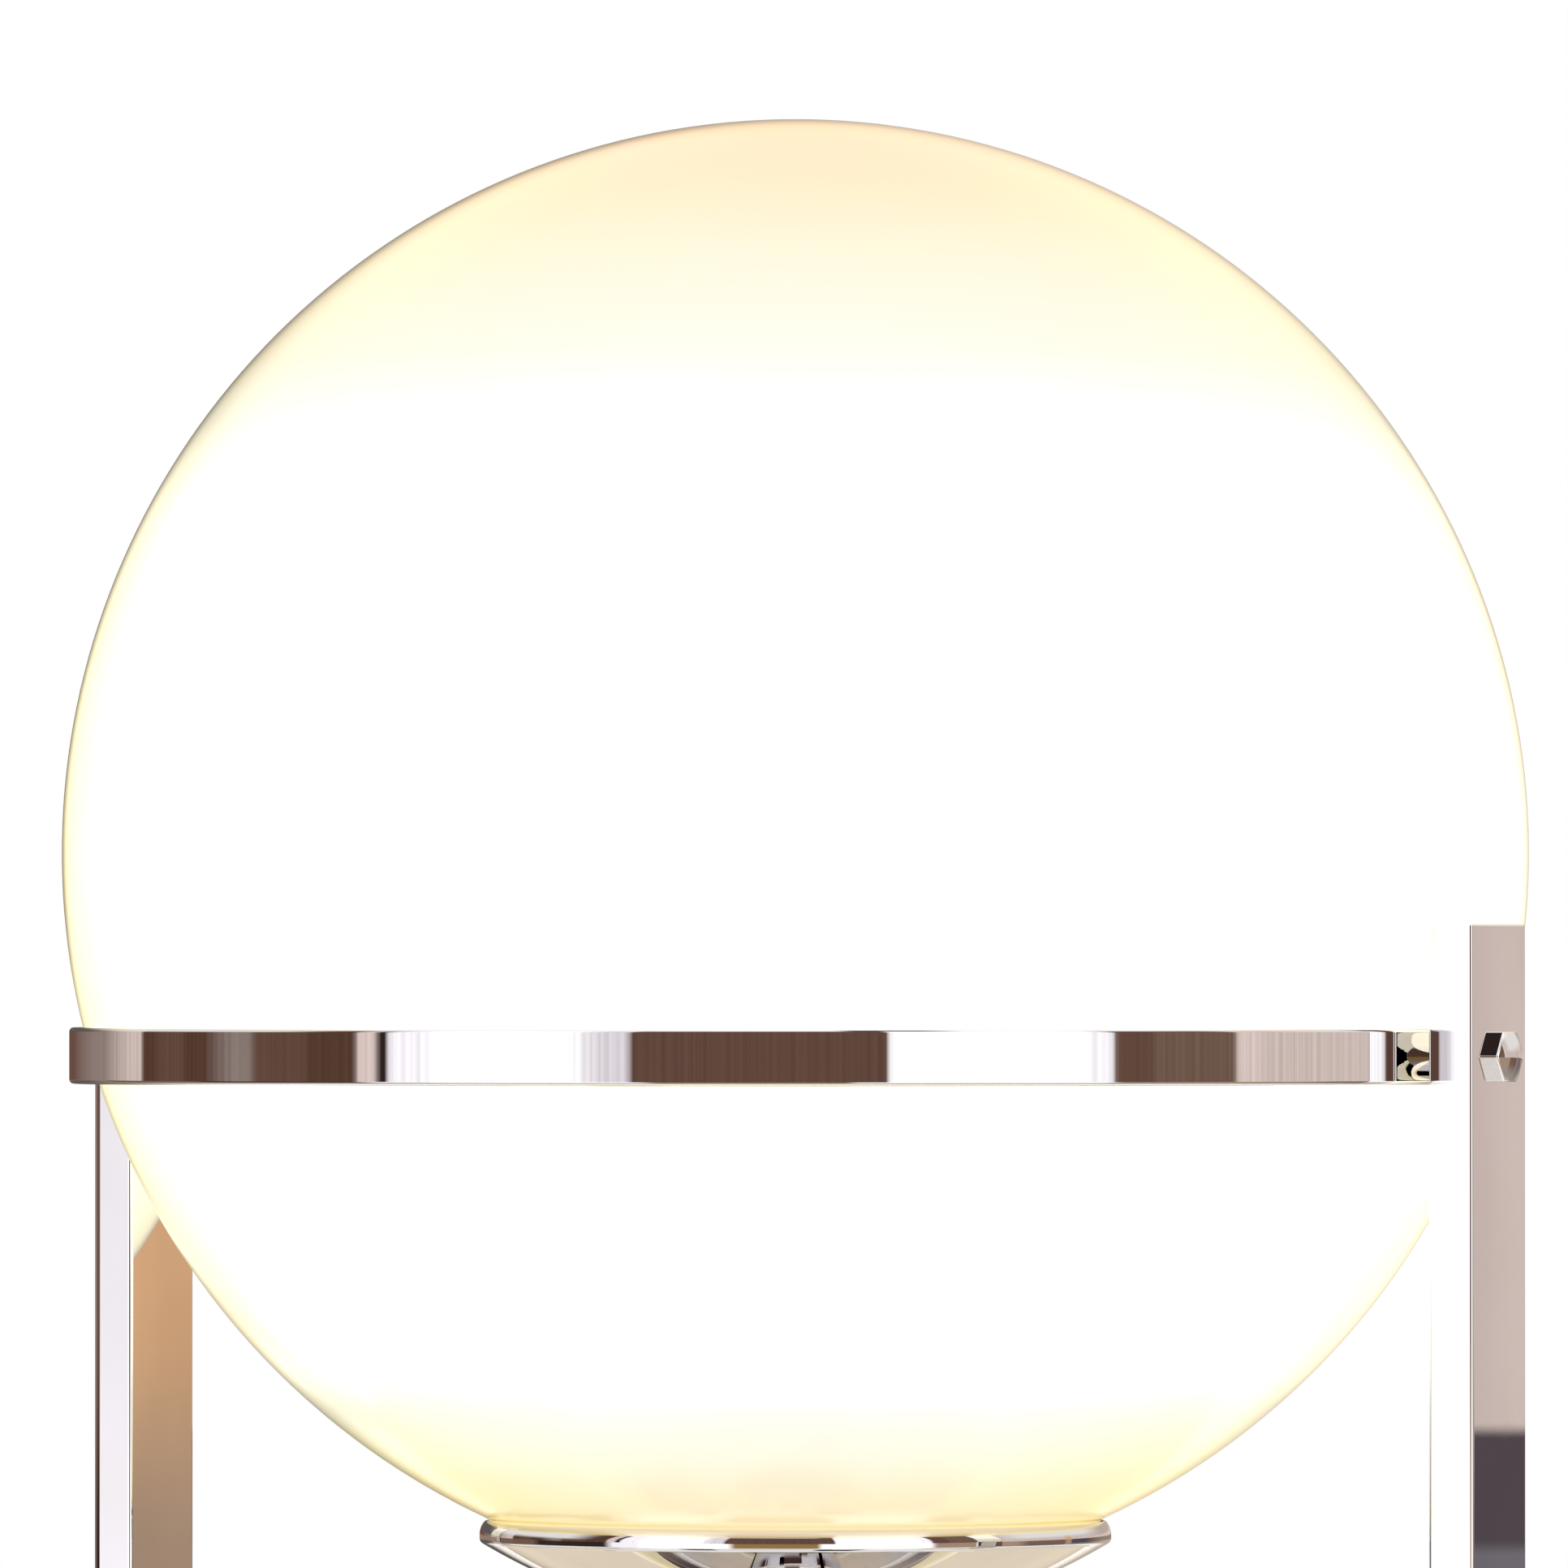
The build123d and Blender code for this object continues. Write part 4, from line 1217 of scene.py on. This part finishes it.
class Tone(Enum):
    """The few tones of the mirrored room, from the bright screens to the dark gaps between them."""

    SCREEN = (1.5, 1.5, 1.5)
    PALE = shown(250, 247, 251)
    LILAC = shown(220, 214, 219)
    BLUSH = shown(214, 196, 190)
    SAND = shown(202, 186, 178)
    COPPER = shown(210, 166, 124)
    CLAY = shown(160, 136, 115)
    TAUPE = shown(136, 121, 114)
    OCHRE = shown(146, 114, 70)
    PEWTER = shown(108, 104, 110)
    BROWN = shown(110, 87, 74)
    UMBER = shown(97, 71, 60)
    DEEP_UMBER = shown(84, 59, 47)
    SLATE = shown(78, 70, 75)
    SOOT = shown(48, 36, 34)


Run = tuple[float, float, Tone]


@dataclass
class Bearings:
    """Where a ray of the room points: its shares ahead and aside, its degrees round and up, as sockets."""

    ahead: bpy.types.NodeSocket
    aside: bpy.types.NodeSocket
    angle: bpy.types.NodeSocket
    rise: bpy.types.NodeSocket


@dataclass
class Studio:
    """Pale floor, soft light all round, and the camera.

    The mirrored room is given as runs of tone over the angle round the lamp, in degrees from the camera, to
    the picture's right. A run is its start, its end and its tone. Heights in it are degrees over the level.
    """

    azimuth: float = 29.5
    distance: float = 3.4
    eye_height: float = 0.190
    aim_height: float = 0.2351
    aim_right: float = -0.00233
    lens: float = 381.4
    sensor: float = 36.0
    clip: tuple[float, float] = (0.05, 100.0)
    floor_radius: float = 0.5
    floor_start: float = 0.02
    floor_rings: int = 40
    floor_segments: int = 96
    floor_fade: tuple[float, float] = (0.20, 0.45)
    floor_colours: tuple[Colour, Colour] = ((0.86, 0.86, 0.86), (0.90, 0.90, 0.90))
    floor_gloss: float = 0.6
    specks_per_metre: float = 60.0
    speck_spread: tuple[float, float] = (0.3, 0.7)
    lamp_height: float = 2.2
    lamp_size: float = 2.4
    lamp_power: float = 28.0
    sill: float = -1.465
    sill_soft: float = 0.5
    sill_sharp: float = 0.03
    leg_angle: float = 121.0
    plinth: tuple[float, float] = (-1.84, -1.90)
    plinth_tone: Tone = Tone.PEWTER
    streaks_per_degree: float = 1.1
    streak_spread: tuple[float, float] = (0.3, 0.7)
    streak_range: tuple[float, float] = (0.9, 1.1)
    behind_left: Colour = (0.12, 0.105, 0.10)
    behind_right: Colour = (0.54, 0.46, 0.38)
    behind_top: Colour = (1.10, 0.96, 0.74)
    behind_blend: float = 0.05
    behind_rise: tuple[float, float] = (10.0, 24.0)
    behind_width: tuple[float, float] = (132.0, 156.0)
    behind_gap: tuple[float, float] = (1.0, 3.0)
    haze: Colour = (0.92, 0.90, 0.86)
    haze_ahead: tuple[float, float] = (0.2, -0.1)
    haze_rise: tuple[float, float] = (4.0, 14.0)
    canopy_angle: float = 19.0
    canopy_half: float = 12.0
    canopy_rise: tuple[float, float] = (34.0, 58.0)
    canopy_blend: float = 4.0
    skylight: Colour = (1.2, 1.2, 1.2)
    skylight_ahead: tuple[float, float] = (0.1, -0.25)
    skylight_rise: tuple[float, float] = (28.0, 40.0)
    floor_light: Colour = shown(150, 140, 132)
    floor_rise: tuple[float, float] = (-8.0, -30.0)
    left_room: tuple[Run, ...] = (
        (-180, -164, Tone.UMBER),
        (-147, -142, Tone.TAUPE),
        (-130, -126.3, Tone.SAND),
        (-125.7, -122, Tone.DEEP_UMBER),
        (-119, -114, Tone.UMBER),
        (-112, -107, Tone.DEEP_UMBER),
        (-100, -96, Tone.TAUPE),
        (-94, -84, Tone.UMBER),
        (-82, -73.3, Tone.DEEP_UMBER),
        (-72.6, -69.2, Tone.BLUSH),
        (-68.8, -67.2, Tone.SOOT),
        (-66.6, -59.5, Tone.PALE),
        (-58.5, -37, Tone.SCREEN),
        (-31, -26.6, Tone.LILAC),
        (-25.4, 0, Tone.UMBER),
    )
    right_room: tuple[Run, ...] = (
        (0, 14.2, Tone.UMBER),
        (14.9, 45, Tone.SCREEN),
        (47, 50.6, Tone.PALE),
        (51.4, 57, Tone.UMBER),
        (59, 73, Tone.BROWN),
        (73.8, 77, Tone.BLUSH),
        (80, 116.5, Tone.SAND),
        (117.3, 120.6, Tone.COPPER),
        (121.4, 180, Tone.SAND),
    )
    left_low: tuple[Run, ...] = (
        (-180, -143, Tone.CLAY),
        (-140, -112, Tone.BROWN),
        (-107, -74, Tone.SOOT),
        (-70, -59.5, Tone.PALE),
        (-58.5, -25, Tone.SCREEN),
        (-22, 0, Tone.OCHRE),
    )
    right_low: tuple[Run, ...] = (
        (0, 8, Tone.OCHRE),
        (10, 50, Tone.SCREEN),
        (53, 88, Tone.CLAY),
        (95, 116.5, Tone.BROWN),
        (117.3, 120.6, Tone.CLAY),
        (121.4, 132, Tone.SLATE),
        (140, 180, Tone.BROWN),
    )

    def directions(self) -> tuple[Vector, Vector]:
        """The level directions from the lamp to the camera and to the picture's right."""
        a = math.radians(self.azimuth)
        return Vector((math.sin(a), -math.cos(a), 0)), Vector((math.cos(a), math.sin(a), 0))

    def camera(self) -> None:
        """Stand the camera at the photograph's place, without shift or blur."""
        towards, right = self.directions()
        data = bpy.data.cameras.new("camera")
        data.lens = self.lens
        data.sensor_width = self.sensor
        data.clip_start, data.clip_end = self.clip
        eye = bpy.data.objects.new("camera", data)
        bpy.context.scene.collection.objects.link(eye)
        eye.location = towards * self.distance + Vector((0, 0, self.eye_height))
        aim = right * self.aim_right + Vector((0, 0, self.aim_height))
        eye.rotation_mode = "QUATERNION"
        eye.rotation_quaternion = (aim - eye.location).to_track_quat("-Z", "Y")
        bpy.context.scene.camera = eye

    def floor(self) -> None:
        """A flat round floor that fades out with the distance from the lamp: (d cos a, d sin a, 0)."""
        spread = np.linspace(self.floor_start, 1, self.floor_rings) * self.floor_radius / MM
        rings = Outline(
            np.stack([spread, np.zeros_like(spread)], axis=1),
            np.tile([0.0, 1.0], (self.floor_rings, 1)),
        )
        disc = revolve(rings, self.floor_segments, closed=False, top=True)
        mesh = bpy.data.meshes.new("floor")
        mesh.from_pydata((disc.points * MM).tolist(), [], disc.quads.tolist() + disc.tris.tolist())
        made = bpy.data.materials.new("pale_floor")
        made.use_nodes = True
        graph = Graph(made.node_tree)
        place = graph.node("TexCoord").outputs["Object"]
        reach = graph.node("VectorMath", {0: place}, operation="LENGTH").outputs["Value"]
        fade = graph.between(reach, *self.floor_fade)
        noise = {"Vector": place, "Scale": self.specks_per_metre, "Detail": 4.0}
        speck = graph.node("TexNoise", noise).outputs[0]
        colour = graph.ramp(speck, list(zip(self.speck_spread, self.floor_colours, strict=True)))
        paint = graph.node("BsdfPrincipled", {"Base Color": colour, "Roughness": self.floor_gloss})
        clear = graph.node("BsdfTransparent")
        both = graph.node("MixShader", {0: fade, 1: paint.outputs[0], 2: clear.outputs[0]})
        graph.node("OutputMaterial", {"Surface": both.outputs[0]})
        mesh.materials.append(made)
        floor = bpy.data.objects.new("floor", mesh)
        bpy.context.scene.collection.objects.link(floor)

    def overhead(self) -> None:
        """A wide soft lamp above, which lights the floor but isn't mirrored."""
        data = bpy.data.lights.new("overhead", "AREA")
        data.shape = "DISK"
        data.size = self.lamp_size
        data.energy = self.lamp_power
        lamp = bpy.data.objects.new("overhead", data)
        lamp.location = (0, 0, self.lamp_height)
        lamp.visible_glossy = False
        bpy.context.scene.collection.objects.link(lamp)

    def bearings(self, graph: Graph) -> Bearings:
        """Split the direction of a ray into the values that the room's colours hang on.

        Args:
            graph: the room's node tree.

        Returns:
            Those values.
        """
        ray = graph.node("TexCoord").outputs["Generated"]
        ahead, aside = (
            graph.node("VectorMath", {0: ray, 1: tuple(way)}, operation="DOT_PRODUCT").outputs["Value"]
            for way in self.directions()
        )
        up = graph.node("SeparateXYZ", {0: ray}).outputs[2]
        degrees = 180 / math.pi
        return Bearings(
            ahead,
            aside,
            graph.math("MULTIPLY", graph.math("ARCTAN2", aside, ahead), degrees),
            graph.math("MULTIPLY", graph.math("ARCSINE", up), degrees),
        )

    def all_round(
        self, graph: Graph, ray: Bearings, left: tuple[Run, ...], right: tuple[Run, ...]
    ) -> bpy.types.NodeSocket:
        """The tones of the runs on both sides, by the angle round the lamp.

        Args:
            graph: the room's node tree.
            ray: where the ray points.
            left: the runs at the picture's left.
            right: those at its right.

        Returns:
            The room's colour.
        """
        half_turn = 180.0
        sides = []
        for start, runs in ((-half_turn, left), (0.0, right)):
            share = graph.math("DIVIDE", graph.math("SUBTRACT", ray.angle, start), half_turn)
            ends = [(place, tone.value) for low, high, tone in runs for place in (low, high)]
            stops = [((place - start) / half_turn, colour) for place, colour in ends]
            sides.append(graph.ramp(share, stops))
        return graph.mix(graph.math("GREATER_THAN", ray.angle, 0.0), *sides)

    def eye_level(self, graph: Graph, ray: Bearings) -> bpy.types.NodeSocket:
        """The runs at the camera's height, with faint upright streaks.

        Args:
            graph: the room's node tree.
            ray: where the ray points.

        Returns:
            The room's colour.
        """
        noise = {"W": ray.angle, "Scale": self.streaks_per_degree, "Detail": 4.0}
        streak = graph.node("TexNoise", noise, noise_dimensions="1D").outputs[0]
        runs = self.all_round(graph, ray, self.left_room, self.right_room)
        strength = graph.between(streak, *self.streak_spread, *self.streak_range)
        return graph.node("VectorMath", {0: runs, 3: strength}, operation="SCALE").outputs[0]

    def behind(self, graph: Graph, ray: Bearings, room: bpy.types.NodeSocket) -> bpy.types.NodeSocket:
        """The room with its part straight behind the lamp, which shows only along the edge of the glass.

        Args:
            graph: the room's node tree.
            ray: where the ray points.
            room: the colour so far.

        Returns:
            The room's colour.
        """
        aside = graph.between(ray.aside, -self.behind_blend, self.behind_blend)
        sides = graph.mix(aside, self.behind_left, self.behind_right)
        whole = graph.mix(graph.between(ray.rise, *self.behind_rise), sides, self.behind_top)
        back = graph.between(graph.math("ABSOLUTE", ray.angle), *self.behind_width)
        off_level = graph.between(graph.math("ABSOLUTE", ray.rise), *self.behind_gap)
        return graph.mix(graph.math("MULTIPLY", back, off_level), room, whole)

    def below_sill(self, graph: Graph, ray: Bearings, room: bpy.types.NodeSocket) -> bpy.types.NodeSocket:
        """The room with its second set of runs below the sill, sharp where the right bar mirrors it.

        Args:
            graph: the room's node tree.
            ray: where the ray points.
            room: the colour so far.

        Returns:
            The room's colour.
        """
        low = self.all_round(graph, ray, self.left_low, self.right_low)
        by_leg = graph.math("GREATER_THAN", ray.angle, self.leg_angle)
        foot = graph.math("MULTIPLY", by_leg, graph.between(ray.rise, *self.plinth))
        low = graph.mix(foot, low, self.plinth_tone.value)
        soft = graph.between(ray.rise, self.sill + self.sill_soft, self.sill - self.sill_soft)
        sharp = graph.between(ray.rise, self.sill + self.sill_sharp, self.sill - self.sill_sharp)
        share = graph.math("ADD", soft, graph.math("MULTIPLY", by_leg, graph.math("SUBTRACT", sharp, soft)))
        return graph.mix(share, room, low)

    def ceiling(self, graph: Graph, ray: Bearings) -> bpy.types.NodeSocket:
        """Bright, warm behind the lamp, with a dark canopy in front for the right bolt to mirror.

        Args:
            graph: the room's node tree.
            ray: where the ray points.

        Returns:
            The ceiling's colour.
        """
        backwards = graph.between(ray.ahead, *self.skylight_ahead)
        bright = graph.mix(backwards, self.skylight, self.behind_top)
        off_middle = graph.math("ABSOLUTE", graph.math("SUBTRACT", ray.angle, self.canopy_angle))
        low, high = self.canopy_rise
        across = graph.between(off_middle, self.canopy_half, self.canopy_half - self.canopy_blend)
        above = graph.between(ray.rise, low - self.canopy_blend, low)
        under = graph.between(ray.rise, high + self.canopy_blend, high)
        inside = graph.math("MULTIPLY", across, graph.math("MULTIPLY", above, under))
        return graph.mix(inside, bright, Tone.SOOT.value)

    def surroundings(self) -> None:
        """The room that the chrome and the glass mirror: bright soft screens with dark brown gaps between.

        The camera itself sees plain white.
        """
        world = bpy.data.worlds.new("studio")
        world.use_nodes = True
        graph = Graph(world.node_tree)
        ray = self.bearings(graph)
        room = self.below_sill(graph, ray, self.eye_level(graph, ray))
        back_half = graph.between(ray.ahead, *self.haze_ahead)
        high = graph.math("MULTIPLY", back_half, graph.between(ray.rise, *self.haze_rise))
        room = self.behind(graph, ray, graph.mix(high, room, self.haze))
        room = graph.mix(graph.between(ray.rise, *self.floor_rise), room, self.floor_light)
        room = graph.mix(graph.between(ray.rise, *self.skylight_rise), room, self.ceiling(graph, ray))
        seen = graph.node("LightPath").outputs["Is Camera Ray"]
        colour = graph.mix(seen, room, (1.0, 1.0, 1.0))
        backdrop = graph.node("Background", {"Color": colour, "Strength": 1.0})
        graph.node("OutputWorld", {"Surface": backdrop.outputs[0]})
        bpy.context.scene.world = world

    def build(self) -> None:
        """Set up the floor, the light, the mirrored room and the camera."""
        self.floor()
        self.overhead()
        self.surroundings()
        self.camera()
        view = bpy.context.scene.view_settings
        view.view_transform = "Standard"
        view.look = "None"


def main() -> None:
    """Build the lamp's pieces in order, then the studio."""
    logging.basicConfig(level=logging.INFO, format="%(name)s %(message)s")
    for part in (GlobeShade(), RingAndLegs(), DishAndColumn(), Foot(), Bulb(), Lampholder()):
        part.build()
    dress_nodes()
    Studio().build()


if __name__ == "__main__":
    main()
